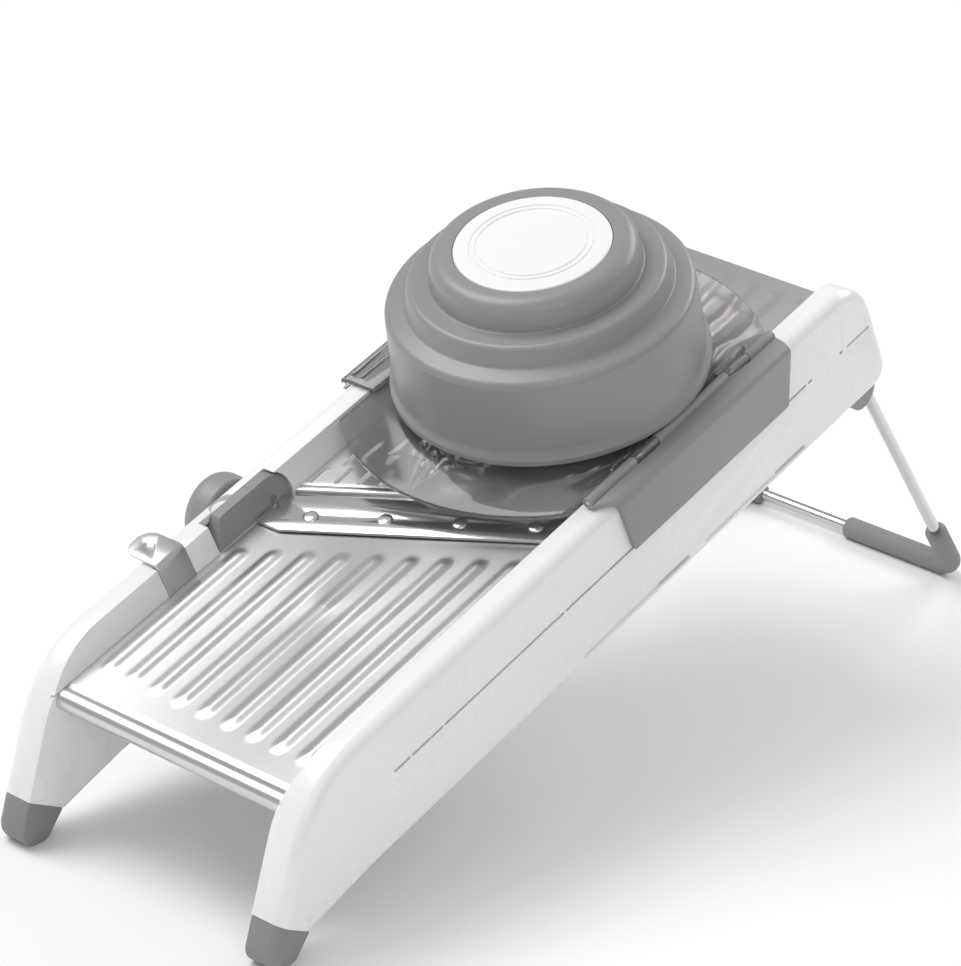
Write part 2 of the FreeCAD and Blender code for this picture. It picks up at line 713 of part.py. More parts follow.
def foot(side, label):
    body = piece(label)
    sole_end_v = toe_v + S.sole_length * cosine(S.deck_tilt)
    sole_end_w = toe_w - S.sole_length * sine(S.deck_tilt)
    outer = rail_outer * side

    def profile(sketch):
        outline(sketch, [
            (cap_v, cap_w),
            (toe_v, toe_w, S.toe_round),
            (sole_end_v, sole_end_w, 5.0),
            (-S.heel_reach, -S.heel_depth),
        ])

    block(body, "YZ", S.deck_half * side, outer, profile)
    joint_v, joint_w = (cap_v - S.heel_reach) / 2, (cap_w - S.heel_depth) / 2

    def outer_edge(edge):
        centre = edge.CenterOfMass
        on_joint = math.hypot(centre.y - joint_v.value, centre.z - joint_w.value) < 0.5
        return in_plane(edge, 0, outer.value) and not on_joint

    round_edges(body, S.rail_edge, outer_edge)
    return body


left_foot = foot(-1, "left_foot")
right_foot = foot(1, "right_foot")

# ---------------------------------------------------------------- bars under the deck


def cross_bar(label, v, depth):
    body = piece(label)
    half_length, half_height = S.bar_length / 2, S.bar_height / 2
    block(body, "YZ", -S.deck_half, S.deck_half,
          lambda s: rectangle(s, v - half_length, v + half_length,
                              -depth - half_height, -depth + half_height))
    for side in (-1, 1):
        block(body, "YZ", (S.deck_half + 1.0) * side, (S.deck_half - S.screw_length) * side,
              lambda s: screw_discs(s, S.screw_radius + 0.02), cut=True)
    return body


front_cross_bar = cross_bar("front_cross_bar", S.front_bar_v, S.front_bar_depth)
rear_cross_bar = cross_bar("rear_cross_bar", S.rear_bar_v, S.rear_bar_depth)

bar_screws = piece("cross_bar_screws")
screw_seat = S.deck_half + S.rail_wall
for side in (-1, 1):
    block(bar_screws, "YZ", (S.deck_half - S.screw_length + 0.4) * side, screw_seat * side,
          lambda s: screw_discs(s, S.screw_radius))
    block(bar_screws, "YZ", screw_seat * side, (screw_seat + 1.8) * side,
          lambda s: screw_discs(s, S.screw_radius * 1.9))

# ---------------------------------------------------------------- run-out plate

plate_half = S.deck_half - 0.3
plate_caught = S.deck_half + S.plate_catch
tab_slot = S.deck_half - S.gap


def run_out_profile(sketch):
    left_end = S.lock_front - 3.0
    outline(sketch, [
        (-plate_caught, 0.0),
        (plate_caught, 0.0),
        (plate_caught, diagonal(S.run_out_end, plate_caught)),
        (-plate_half, diagonal(S.run_out_end, -plate_half)),
        (-plate_half, left_end),
        (-plate_caught, left_end),
        (-plate_caught, tab_rear + S.gap),
        (-tab_slot, tab_rear + S.gap),
        (-tab_slot, S.tab_front - S.gap),
        (-plate_caught, S.tab_front - S.gap),
    ])


rib_places = [S.rib_pitch * i for i in range(-4, 5)]


def ribs(body, front, rear):
    """Raised ribs with round ends; front and rear give their ends at u."""

    def draw(sketch):
        for u in rib_places:
            long_slot(sketch, u, front(u), rear(u), S.rib_width)

    block(body, "XY", 0.0, S.rib_height, draw)
    top = S.rib_height.value
    round_edges(body, S.rib_height * 0.75, lambda edge: in_plane(edge, 2, top))


run_out_plate = piece("run_out_plate")
block(run_out_plate, "XY", -S.sheet, 0.0, run_out_profile)
ribs(run_out_plate, lambda u: S.rib_front, lambda u: diagonal(S.run_out_ribs_end, u))


def rolled_hem(sketch):
    disc(sketch, 0.0, -S.hem_radius, S.hem_radius)


block(run_out_plate, "YZ", -plate_half, plate_half, rolled_hem)
block(run_out_plate, "YZ", -plate_half - 1.0, plate_half + 1.0,
      lambda s: disc(s, 0.0, -S.hem_radius, S.hem_radius - S.sheet), cut=True)

rivet_places = [S.rivet_first + S.rivet_pitch * i for i in range(4)]


def rivet_discs(sketch, radius):
    for u in rivet_places:
        disc(sketch, u, diagonal(S.rivet_line, u), radius)


block(run_out_plate, "XY", -S.sheet - 1.0, 1.0,
      lambda s: rivet_discs(s, S.rivet_shank + 0.05), cut=True)

# ---------------------------------------------------------------- blade

blade_top = S.carrier_thick + S.blade_thick
corner_u = (S.blade_corner - S.blade_front) / slope

blade_spacer = piece("blade_spacer")
block(blade_spacer, "XY", 0.0, S.carrier_thick,
      lambda s: band(s, -plate_half + 12.0, plate_half - 1.0, S.blade_front + 1.5,
                     S.run_out_end))
block(blade_spacer, "XY", -1.0, S.carrier_thick + 1.0,
      lambda s: rivet_discs(s, S.rivet_shank + 0.05), cut=True)

main_blade = piece("main_blade")


def blade_profile(sketch):
    outline(sketch, [
        (-plate_half, S.blade_corner),
        (corner_u, S.blade_corner),
        (plate_half, diagonal(S.blade_front, plate_half)),
        (plate_half, diagonal(S.blade_edge, plate_half)),
        (-plate_half, diagonal(S.blade_edge, -plate_half)),
    ])


block(main_blade, "XY", S.carrier_thick, blade_top, blade_profile)
block(main_blade, "XY", 0.0, blade_top + 1.0,
      lambda s: rivet_discs(s, S.rivet_shank + 0.05), cut=True)


def cutting_edge(edge):
    centre = edge.CenterOfMass
    line = diagonal(S.blade_edge, sized(centre.x)).value
    return in_plane(edge, 2, blade_top.value) and abs(centre.y - line) < 0.5


def bevel(body, wanted, size):
    base = body.Tip
    names = [f"Edge{i}" for i, e in enumerate(base.Shape.Edges, start=1) if wanted(e)]
    feature = body.newObject("PartDesign::Chamfer", "Bevel")
    feature.Base = (base, names)
    feature.Size = size.value
    bind(feature, "Size", size)
    doc.recompute()


bevel(main_blade, cutting_edge, S.blade_bevel)

blade_rivets = piece("blade_rivets")
block(blade_rivets, "XY", -S.sheet, blade_top, lambda s: rivet_discs(s, S.rivet_shank))
block(blade_rivets, "XY", blade_top, blade_top + 0.4, lambda s: rivet_discs(s, S.rivet_head))
block(blade_rivets, "XY", -S.sheet - 0.4, -S.sheet, lambda s: rivet_discs(s, S.rivet_shank + 0.8))

# ---------------------------------------------------------------- run-in plate and its frame

run_in_plate = piece("run_in_plate")


def run_in_profile(sketch):
    outline(sketch, [
        (-plate_half, diagonal(S.lip_front, -plate_half)),
        (plate_half, diagonal(S.lip_front, plate_half)),
        (plate_half, S.run_in_end),
        (-plate_half, S.run_in_end),
    ])


block(run_in_plate, "XY", -S.sheet, 0.0, run_in_profile)
ribs(run_in_plate, lambda u: diagonal(S.run_in_ribs, u), lambda u: S.run_in_ribs_end)
block(run_in_plate, "XY", -S.lip_height, -S.sheet / 2,
      lambda s: band(s, -plate_half, plate_half, S.lip_front, S.lip_front + S.lip_width))


def lip_edge(edge):
    centre = edge.CenterOfMass
    line = diagonal(S.lip_front, sized(centre.x)).value
    along = edge.BoundBox.XLength > 50.0
    height = min(abs(centre.z), abs(centre.z + S.lip_height.value))
    return along and abs(centre.y - line) < 0.5 and height < 0.05


round_edges(run_in_plate, S.lip_height * 0.42, lip_edge)
block(run_in_plate, "XZ", S.run_in_end - S.sheet, S.run_in_end,
      lambda s: rectangle(s, -plate_half, plate_half, -4.2, 0.0))


def slot_row(sketch, row):
    """One row of slots parallel to the blade; every second row is moved by half a pitch."""
    for column in range(13):
        u = -51.7 + S.perforation_pitch * (column + (row % 2) * 0.5)
        if u.value > 50.0:
            continue
        centre = diagonal(S.perforation_front, u) + S.perforation_row * row
        long_slot(sketch, u, centre - S.perforation_length / 2,
                  centre + S.perforation_length / 2, S.perforation_width)


for row in range(3):
    block(run_in_plate, "XY", -S.sheet - 3.0, 1.0, lambda s, row=row: slot_row(s, row), cut=True)

run_in_frame = piece("run_in_frame")
beam_out = S.deck_half - S.beam_inset
beam_in = beam_out - S.beam_width
beam_low = S.beam_depth
beam_rear = S.run_in_end - 1.5
arm_front = S.dial_v + S.dial_shaft + 1.0
arm_low = S.dial_depth - S.crank_radius * sine(S.crank_angle) - S.crank_pin - S.gap
arm_step = S.dial_v + S.crank_radius + S.crank_pin + 2.0
under_lip = S.lip_height + 0.1


def beam_profile(sketch, side):
    start = diagonal(S.lip_front + S.lip_width + 1.5, beam_out if side > 0 else -beam_in)
    # each arm steps down behind the crank pin and passes below the rolled lip
    outline(sketch, [
        (arm_front, -arm_low),
        (arm_step, -arm_low),
        (arm_step, -beam_low),
        (beam_rear, -beam_low),
        (beam_rear, -S.sheet),
        (start, -S.sheet),
        (start, -under_lip),
        (arm_step + 4.5, -under_lip),
        (arm_step + 4.5, -S.arm_top),
        (arm_front, -S.arm_top),
    ])


for side in (-1, 1):
    block(run_in_frame, "YZ", beam_in * side, beam_out * side,
          lambda s, side=side: beam_profile(s, side))
block(run_in_frame, "YZ", -beam_in, beam_in,
      lambda s: rectangle(s, S.hinge_v - 6.0, beam_rear, -beam_low, -S.sheet))
block(run_in_frame, "YZ", -beam_out - 1.0, beam_out + 1.0,
      lambda s: disc(s, S.hinge_v, -S.hinge_depth, S.hinge_rod + S.running_fit), cut=True)

run_in_rod = piece("run_in_hinge_rod", v=S.hinge_v, w=-S.hinge_depth)
block(run_in_rod, "YZ", -S.deck_half - 2.0, S.deck_half + 2.0, lambda s: disc(s, 0, 0, S.hinge_rod))

# ---------------------------------------------------------------- thickness dial

dial_knob = piece("thickness_knob", v=S.dial_v, w=-S.dial_depth)


def knob_section(sketch):
    outline(sketch, [
        (-knob_outer, 0.0),
        (-knob_outer, S.dial_radius, 3.6),
        (-knob_inner, S.dial_radius, 1.2),
        (-knob_inner, 0.0),
    ])


turned(dial_knob, knob_section, axis="H_Axis")
knob_bore = knob_inner + 6.0
block(dial_knob, "YZ", -knob_inner + 1.0, -knob_bore, lambda s: disc(s, 0, 0, S.dial_shaft + 0.02),
      cut=True)

dial_shaft = piece("dial_shaft", v=S.dial_v, w=-S.dial_depth)
block(dial_shaft, "YZ", -knob_bore + 0.2, S.deck_half + 1.8, lambda s: disc(s, 0, 0, S.dial_shaft))
pin_v = S.crank_radius * cosine(S.crank_angle)
pin_w = S.crank_radius * sine(S.crank_angle)
crank_out = beam_in - 0.5
crank_in = crank_out - 2.4
crank_half = S.crank_pin + 0.9


def crank_link(sketch):
    across_v = crank_half * sine(S.crank_angle)
    across_w = crank_half * cosine(S.crank_angle)
    outline(sketch, [
        (across_v, -across_w),
        (pin_v + across_v, pin_w - across_w),
        (pin_v - across_v, pin_w + across_w),
        (-across_v, across_w),
    ])


for side in (-1, 1):
    block(dial_shaft, "YZ", crank_in * side, crank_out * side, crank_link)
    block(dial_shaft, "YZ", crank_in * side, crank_out * side,
          lambda s: disc(s, pin_v, pin_w, crank_half))
    block(dial_shaft, "YZ", crank_in * side, (beam_out - 0.3) * side,
          lambda s: disc(s, pin_v, pin_w, S.crank_pin))

# ---------------------------------------------------------------- julienne comb and selector

julienne_comb = piece("julienne_comb")
comb_front = S.comb_line - S.comb_thick / 2
comb_back = S.comb_line + S.comb_thick / 2
block(julienne_comb, "XY", -S.comb_low, -S.comb_shoulder,
      lambda s: band(s, -S.comb_half, S.comb_half, comb_front, comb_back))
tooth = 1.6


def comb_teeth(sketch):
    count = int((2 * S.comb_half.value - tooth) // S.comb_pitch.value)
    first = -S.comb_pitch * count / 2
    for i in range(count + 1):
        u = first + S.comb_pitch * i
        band(sketch, u - tooth / 2, u + tooth / 2, comb_front, comb_back)


block(julienne_comb, "XY", -S.comb_shoulder, -S.comb_tip, comb_teeth)

selector = piece("julienne_selector")
tab_under = S.rail_top + 0.8
tab_over = tab_under + S.tab_sheet
arm_side = S.comb_half - 2.0
arm_inner = arm_side - 8.0


def tab_section(sketch):
    on_deck = sized(0.0)
    outline(sketch, [
        (tab_line(0.0, on_deck), -S.comb_low),
        (tab_line(0.0, on_deck), 0.0),
        (tab_line(0.0, S.rail_top), tab_over, 2.6),
        (-S.tab_reach, tab_over),
        (-S.tab_reach, tab_under),
        (tab_line(S.tab_sheet, S.rail_top), tab_under, 1.4),
        (tab_line(S.tab_sheet, on_deck), 0.0),
        (tab_line(S.tab_sheet, on_deck), -S.comb_low),
    ])


block(selector, "XZ", S.tab_front, tab_rear, tab_section)
round_edges(selector, 6.4, lambda e: in_plane(e, 0, -S.tab_reach.value)
            and e.BoundBox.YLength < 0.01)


def selector_arm(sketch):
    outline(sketch, [
        (-S.deck_half, S.tab_front),
        (-arm_inner, S.tab_front),
        (-arm_inner, diagonal(comb_front, -arm_inner)),
        (-arm_side, diagonal(comb_front, -arm_side)),
        (-arm_side, tab_rear),
        (-S.deck_half, tab_rear),
    ])


block(selector, "XY", -S.comb_low, -S.comb_low + S.tab_sheet, selector_arm)
dimple = selector.newObject("PartDesign::SubtractiveSphere", "ThumbDimple")
dimple_ball = S.dimple_radius * 1.35
plane = [f for f in selector.Origin.OriginFeatures if f.Role == "XY_Plane"][0]
dimple.AttachmentSupport = [(plane, "")]
dimple.MapMode = "FlatFace"
dimple.Radius = dimple_ball.value
bind(dimple, "Radius", dimple_ball)
dimple_u = -S.tab_reach + S.tab_width / 2
dimple_v = S.tab_front + S.tab_width / 2
dimple_w = tab_over + dimple_ball - 0.8
dimple.AttachmentOffset = FreeCAD.Placement(
    FreeCAD.Vector(dimple_u.value, dimple_v.value, dimple_w.value), FreeCAD.Rotation())
bind(dimple, "AttachmentOffset.Base.x", dimple_u)
bind(dimple, "AttachmentOffset.Base.y", dimple_v)
bind(dimple, "AttachmentOffset.Base.z", dimple_w)
doc.recompute()

comb_guides = piece("comb_guides")
for guide_u in (-20.0, 24.0):
    block(comb_guides, "XY", -S.comb_low + 3.0, -S.sheet,
          lambda s, guide_u=guide_u: band(s, sized(guide_u) - 2.5, sized(guide_u) + 2.5,
                                          S.rivet_line + 3.0, comb_front - S.gap))

# ---------------------------------------------------------------- blade lock

blade_lock = piece("blade_lock")


def lock_profile(sketch):
    outline(sketch, [
        (S.lock_front, S.gap),
        (S.lock_v, S.gap),
        (S.lock_v, S.rail_top),
        (S.lock_front + S.lock_lean, S.rail_top, 1.5),
    ])


block(blade_lock, "YZ", -lock_out, -lock_in, lock_profile)
block(blade_lock, "YZ", -lock_out, -lock_in, lambda s: disc(s, S.lock_v, S.lock_w, S.lock_radius))
block(blade_lock, "YZ", -lock_out - 1.0, -lock_in + 1.0,
      lambda s: disc(s, S.lock_v, S.lock_w, S.lock_pin + S.running_fit), cut=True)


def lock_lean_cut(sketch):
    outline(sketch, [
        (-lock_in, 0.3),
        (-lock_in - S.rail_bevel, S.rail_top),
        (-lock_in - S.rail_bevel, S.rail_top + 3.0),
        (-lock_in + 3.0, S.rail_top + 3.0),
        (-lock_in + 3.0, 0.3),
    ])


block(blade_lock, "XZ", S.lock_front - 5.0, S.lock_v + S.lock_radius + 5.0, lock_lean_cut,
      cut=True)

lock_pin = piece("blade_lock_pin", v=S.lock_v, w=S.lock_w)
block(lock_pin, "YZ", -rail_outer + 1.6, -lock_in - 1.5, lambda s: disc(s, 0, 0, S.lock_pin))

# ---------------------------------------------------------------- food holder

tray = piece("holder_tray", v=S.holder_v)
tray_top = S.tray_low + S.tray_thick
block(tray, "XY", S.tray_low, tray_top, lambda s: disc(s, 0, 0, S.tray_radius))
for side in (-1, 1):
    block(tray, "XY", S.tray_low - 1.0, tray_top + 1.0,
          lambda s, side=side: rectangle(s, *sorted(
              (S.tray_half * side, (S.tray_radius + 2.0) * side), key=lambda z: z.value),
              -S.tray_radius, S.tray_radius), cut=True)
well_outer = S.well_radius + S.well_wall


def well_section(sketch):
    ring_top = S.collar_low + 1.8
    outline(sketch, [
        (S.well_radius, S.well_low),
        (well_outer, S.well_low),
        (well_outer, S.collar_low),
        (S.collar_radius, S.collar_low),
        (S.collar_radius, S.collar_top),
        (S.collar_radius - 1.8, S.collar_top),
        (S.collar_radius - 1.8, ring_top),
        (S.well_radius, ring_top),
    ])


block(tray, "XY", S.tray_low - 1.0, tray_top + 1.0, lambda s: disc(s, 0, 0, S.well_radius + 1.0),
      cut=True)
turned(tray, well_section)

# left guide: a ledge over the left rail with a short skirt, joined to the tray by a wall
guide_over = S.guide_under + S.guide_thick
left_front = S.left_guide_front - S.holder_v
left_rear = S.left_guide_rear - S.holder_v
tray_edge_in = S.tray_half - S.guide_thick


def left_guide_section(sketch):
    outline(sketch, [
        (-tray_edge_in, S.tray_low),
        (-tray_edge_in, guide_over),
        (-guide_outer, guide_over, 2.4),
        (-guide_outer, S.left_skirt),
        (-guide_outer + S.guide_thick, S.left_skirt),
        (-guide_outer + S.guide_thick, S.guide_under),
        (-S.tray_half, S.guide_under),
        (-S.tray_half, S.tray_low),
    ])


block(tray, "XZ", left_front, left_rear, left_guide_section)
# two raised ribs along the left guide
for rib_u in (S.deck_half + 8.6, S.deck_half + 13.0):
    block(tray, "XY", guide_over - 0.2, guide_over + 1.0,
          lambda s, rib_u=rib_u: long_slot(s, -rib_u, left_front + 3.0, left_rear - 3.0, 1.6))

# right side: an upstand and two hinge knuckles that reach over the rail
right_front = S.right_guide_front - S.holder_v
right_rear = S.right_guide_rear - S.holder_v
leaf_low = S.barrel_w - S.barrel_radius
leaf_top = leaf_low + 1.6
knuckle_half = S.knuckle_length / 2
knuckle_places = [S.knuckle_front - S.holder_v, S.knuckle_rear - S.holder_v]
block(tray, "XZ", knuckle_places[0] - knuckle_half - 6.0, knuckle_places[1] + knuckle_half + 6.0,
      lambda s: rectangle(s, tray_edge_in, S.tray_half, S.tray_low, leaf_top))
for place in knuckle_places:
    block(tray, "XZ", place - knuckle_half, place + knuckle_half,
          lambda s: rectangle(s, tray_edge_in, S.barrel_u, leaf_low, leaf_top))
    block(tray, "XZ", place - knuckle_half, place + knuckle_half,
          lambda s: disc(s, S.barrel_u, S.barrel_w, S.barrel_radius))
block(tray, "XZ", right_front, right_rear,
      lambda s: disc(s, S.barrel_u, S.barrel_w, S.barrel_pin + 0.02), cut=True)


def solid_at(body, kind, u, v, w, **sizes):
    """A PartDesign solid of the given kind standing on the deck at (u, v, w) of its body."""
    feature = body.newObject(f"PartDesign::{kind}", kind)
    support = [f for f in body.Origin.OriginFeatures if f.Role == "XY_Plane"][0]
    feature.AttachmentSupport = [(support, "")]
    feature.MapMode = "FlatFace"
    place = (sized(u), sized(v), sized(w))
    feature.AttachmentOffset = FreeCAD.Placement(
        FreeCAD.Vector(*[size.value for size in place]), FreeCAD.Rotation())
    for axis, size in zip("xyz", place):
        bind(feature, f"AttachmentOffset.Base.{axis}", size)
    for name, size in sizes.items():
        size = sized(size)
        setattr(feature, name, size.value)
        bind(feature, name, size)
    doc.recompute()


def prongs(body, places, top):
    """Blunt cones that hang from height top."""
    for u, v in places:
        solid_at(body, "AdditiveCone", u, v, top - S.prong_length,
                 Radius1=0.45, Radius2=1.5, Height=S.prong_length)


# prongs in front of the well, for the last slices of a long vegetable
prongs(tray, [(-19.5, -56.0), (-19.5, -62.5), (-12.0, -58.5), (-2.5, -56.0), (-12.0, -66.0),
              (-2.3, -63.0)], S.tray_low + 0.1)

# ---------------------------------------------------------------- hinged right guide

right_guide = piece("right_guide", v=S.holder_v)
wall_in = guide_outer - S.guide_thick


def right_guide_section(sketch):
    outline(sketch, [
        (S.barrel_u, guide_over),
        (guide_outer, guide_over, 4.0),
        (guide_outer, -S.right_skirt),
        (wall_in, -S.right_skirt),
        (wall_in, S.guide_under, 2.1),
        (S.barrel_u, S.guide_under),
    ])


block(right_guide, "XZ", right_front, right_rear, right_guide_section)
block(right_guide, "XZ", right_front, right_rear,
      lambda s: disc(s, S.barrel_u, S.barrel_w, S.barrel_radius))
for end, way, slant in ((right_front, 1, S.guide_slant_top), (right_rear, -1, S.guide_slant_rear)):
    bend_v = end + slant * way
    skirt_v = bend_v + S.guide_slant_side * way
    # the top's end runs at a slant from the hinge, the side's end on down to the skirt
    block(right_guide, "XY", S.guide_under - 5.0, guide_over + 4.0, lambda s: outline(s, [
        (S.barrel_u + S.barrel_radius, end - 2.0 * way),
        (guide_outer + 2.0, end - 2.0 * way),
        (guide_outer + 2.0, bend_v),
        (wall_in, bend_v),
        (S.barrel_u + S.barrel_radius, end),
    ]), cut=True)
    block(right_guide, "YZ", wall_in - 1.0, guide_outer + 2.0, lambda s: outline(s, [
        (end - 2.0 * way, S.guide_under - 2.0),
        (bend_v, S.guide_under - 2.0),
        (skirt_v, -S.right_skirt - 1.0),
        (end - 2.0 * way, -S.right_skirt - 1.0),
    ]), cut=True)
for place in knuckle_places:
    block(right_guide, "XY", S.guide_under - 2.0, guide_over + 4.0,
          lambda s: rectangle(s, S.barrel_u - 4.0, S.barrel_u + S.barrel_radius + S.gap,
                              place - knuckle_half - S.gap, place + knuckle_half + S.gap),
          cut=True)
block(right_guide, "XZ", right_front - 1.0, right_rear + 1.0,
      lambda s: disc(s, S.barrel_u, S.barrel_w, S.barrel_pin + S.running_fit), cut=True)

guide_pin = piece("guide_hinge_pin", u=S.barrel_u, v=S.holder_v, w=S.barrel_w)
block(guide_pin, "XZ", right_front + 0.3, right_rear - 0.3, lambda s: disc(s, 0, 0, S.barrel_pin))

# ---------------------------------------------------------------- pusher

pusher_cup = piece("pusher_cup", v=S.holder_v)
crown_low = S.cup_top - S.cap_thick - S.cup_wall
guide_bore = S.stem_radius + S.running_fit
ledge_low = S.collar_top + 0.3


def cup_section(sketch):
    inside = S.cup_radius - 2.7 - S.cup_wall
    outline(sketch, [
        (S.cup_radius, S.cup_rim),
        (S.cup_radius, S.cup_rim + 1.8),
        (S.cup_radius - 1.7, S.cup_rim + 5.0, 6.0),
        (S.cup_radius - 2.7, S.shoulder_w, 3.5),
        (S.bulge_radius + 2.5, S.shoulder_w + 2.2, 1.2),
        (S.bulge_radius, S.neck_w, 2.6),
        (S.neck_radius + 1.4, S.neck_w + 0.2, 1.0),
        (S.neck_radius, S.cup_top, 6.0),
        (S.cap_radius + 0.2, S.cup_top),
        (S.cap_radius + 0.2, S.cup_top - S.cap_thick),
        (S.washer_radius + 0.6, S.cup_top - S.cap_thick),
        (S.washer_radius + 0.6, S.guide_w + 8.0),
        (guide_bore, S.guide_w + 8.0),
        (guide_bore, S.guide_w),
        (S.washer_radius + 2.4, S.guide_w),
        (S.washer_radius + 2.4, crown_low),
        (S.neck_radius - S.cup_wall, crown_low),
        (S.neck_radius - S.cup_wall, S.neck_w - S.cup_wall),
        (S.bulge_radius - S.cup_wall, S.neck_w - S.cup_wall),
        (S.bulge_radius - S.cup_wall, S.shoulder_w - S.cup_wall),
        (inside, S.shoulder_w - S.cup_wall, 3.0),
        (inside, ledge_low + 2.2),
        (S.collar_radius - 3.0, ledge_low + 2.2),
        (S.collar_radius - 3.0, ledge_low),
        (inside + 1.3, ledge_low),
        (inside + 2.1, S.cup_rim),
    ])


turned(pusher_cup, cup_section)

cup_cap = piece("cup_cap", v=S.holder_v)
cap_low = S.cup_top - S.cap_thick
turned(cup_cap, lambda s: outline(s, [
    (0.0, cap_low + 0.05),
    (S.cap_radius, cap_low + 0.05),
    (S.cap_radius, S.cup_top + 0.3, 0.8),
    (0.0, S.cup_top + 0.3),
]))
# a double ring groove near the edge of the cap
for ring in (0.70, 0.78):
    turned(cup_cap, lambda s, ring=ring: rectangle(
        s, S.cap_radius * ring - 0.6, S.cap_radius * ring + 0.6, S.cup_top - 0.5,
        S.cup_top + 1.0), cut=True)

prong_plate = piece("prong_plate", v=S.holder_v)
plate_top = S.plate_low + 2.0
turned(prong_plate, lambda s: outline(s, [
    (0.0, S.plate_low),
    (S.plate_radius, S.plate_low),
    (S.plate_radius, plate_top + 1.6),
    (S.plate_radius - 1.6, plate_top + 1.6),
    (S.plate_radius - 1.6, plate_top),
    (0.0, plate_top),
]))
prong_places = []
for ring, number in ((12.0, 4), (26.0, 8), (39.0, 12)):
    for i in range(number):
        turn = math.radians(360.0 * (i + 0.5) / number)
        prong_places.append((ring * math.cos(turn), ring * math.sin(turn)))
prongs(prong_plate, prong_places, S.plate_low + 0.1)

plunger_stem = piece("plunger_stem", v=S.holder_v)
stem_top = S.guide_w + 8.3
block(plunger_stem, "XY", plate_top, stem_top, lambda s: disc(s, 0, 0, S.stem_radius))

stem_screw = piece("stem_screw", v=S.holder_v)
block(stem_screw, "XY", stem_top, stem_top + 1.2, lambda s: disc(s, 0, 0, S.washer_radius))
block(stem_screw, "XY", stem_top + 1.2, stem_top + 3.2, lambda s: disc(s, 0, 0, 3.6))
block(stem_screw, "XY", stem_top + 2.0, stem_top + 4.0,
      lambda s: rectangle(s, sized(-0.5), sized(0.5), sized(-5.0), sized(5.0)), cut=True)

prong_spring = piece("prong_spring", v=S.holder_v)
spring_low = plate_top + S.spring_wire
spring_height = crown_low - plate_top - 2 * S.spring_wire - 0.1
coil = prong_spring.newObject("PartDesign::AdditiveHelix", "Coil")
ring_sketch = new_sketch(prong_spring, "XZ", sized(0))
disc(ring_sketch, S.spring_radius, spring_low, S.spring_wire)
coil.Profile = ring_sketch
coil.ReferenceAxis = (ring_sketch, ["V_Axis"])
coil.Mode = "height-turns-growth"
coil.Height = spring_height.value
coil.Turns = 8
bind(coil, "Height", spring_height)
doc.recompute()

# ---------------------------------------------------------------- wire stand

stand_top = S.stand_half + S.stand_splay
clip_far = rail_outer - S.rail_wall - 0.05
clip_near = stand_top + S.stub_bend
stub_end = clip_far - 0.1


def stand_piece(label):
    return piece(label, v=S.stand_v, w=-S.stand_depth, lean=S.stand_lean)


def sweep(body, path, start_u, start_z, radius, plane="YZ", cut=False):
    """A round rod along an open path drawn on the XZ plane."""
    spine = new_sketch(body, "XZ", sized(0))
    path(spine)
    profile = new_sketch(body, plane, start_u if plane == "YZ" else start_z)
    if plane == "YZ":
        disc(profile, 0, start_z, radius)
    else:
        disc(profile, start_u, 0, radius)
    kind = "PartDesign::SubtractivePipe" if cut else "PartDesign::AdditivePipe"
    pipe = body.newObject(kind, "Sweep")
    pipe.Profile = profile
    pipe.Spine = (spine, [f"Edge{i}" for i in range(1, len(spine.Shape.Edges) + 1)])
    doc.recompute()


def wire_path(sketch):
    outline(sketch, [
        (-stub_end, 0.0),
        (-stand_top, 0.0, S.stub_bend),
        (-S.stand_half, -leg_length, S.wire_bend),
        (S.stand_half, -leg_length, S.wire_bend),
        (stand_top, 0.0, S.stub_bend),
        (stub_end, 0.0),
    ], closed=False)


stand_wire = stand_piece("stand_wire")
sweep(stand_wire, wire_path, -stub_end, sized(0.0), S.wire_radius)

for side, label, bar_length in (
    (-1, "left_stand_sleeve", S.sleeve_bar_left),
    (1, "right_stand_sleeve", S.sleeve_bar_right),
):
    sleeve = stand_piece(label)
    bar_end = (S.stand_half - bar_length) * side
    corner = S.stand_half * side
    leg_end = -leg_length + S.sleeve_leg
    leg_end_u = corner + S.stand_splay * (S.sleeve_leg / leg_length) * side

    def sleeve_path(sketch):
        outline(sketch, [
            (bar_end, -leg_length),
            (corner, -leg_length, S.wire_bend),
            (leg_end_u, leg_end),
        ], closed=False)

    sweep(sleeve, sleeve_path, bar_end, -leg_length, S.sleeve_radius)
    sweep(sleeve, sleeve_path, bar_end, -leg_length, S.wire_radius + 0.05, cut=True)

for side, label in ((-1, "left_stand_clip"), (1, "right_stand_clip")):
    clip = piece(label, v=S.stand_v, w=-S.stand_depth)
    near, far = clip_near * side, clip_far * side
    block(clip, "YZ", near, far, lambda s: disc(s, -3.5, -4.0, S.clip_radius))
    block(clip, "YZ", near, far, lambda s: rectangle(
        s, -3.5 - S.clip_radius, -3.5 + S.clip_radius, -4.0, 2.0))
    block(clip, "YZ", near, far, lambda s: disc(s, 0, 0, S.wire_radius + S.running_fit), cut=True)

# ---------------------------------------------------------------- checks and files

doc.recompute()
for thing in doc.Objects:
    if "Invalid" in thing.State or "Error" in thing.State:
        raise RuntimeError(f"{thing.Label} failed: {thing.State}")
for body in pieces:
    if body.Shape.isNull() or not body.Shape.isValid():
        raise RuntimeError(f"{body.Label} has no sound shape")
os.makedirs("parts", exist_ok=True)
for body in pieces:
    body.Shape.exportStep(f"parts/{body.Label}.step")
    print(body.Label, len(body.Shape.Solids), round(body.Shape.Volume, 1))
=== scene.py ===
import json
import math

import bmesh
import bpy
from mathutils import Matrix, Vector


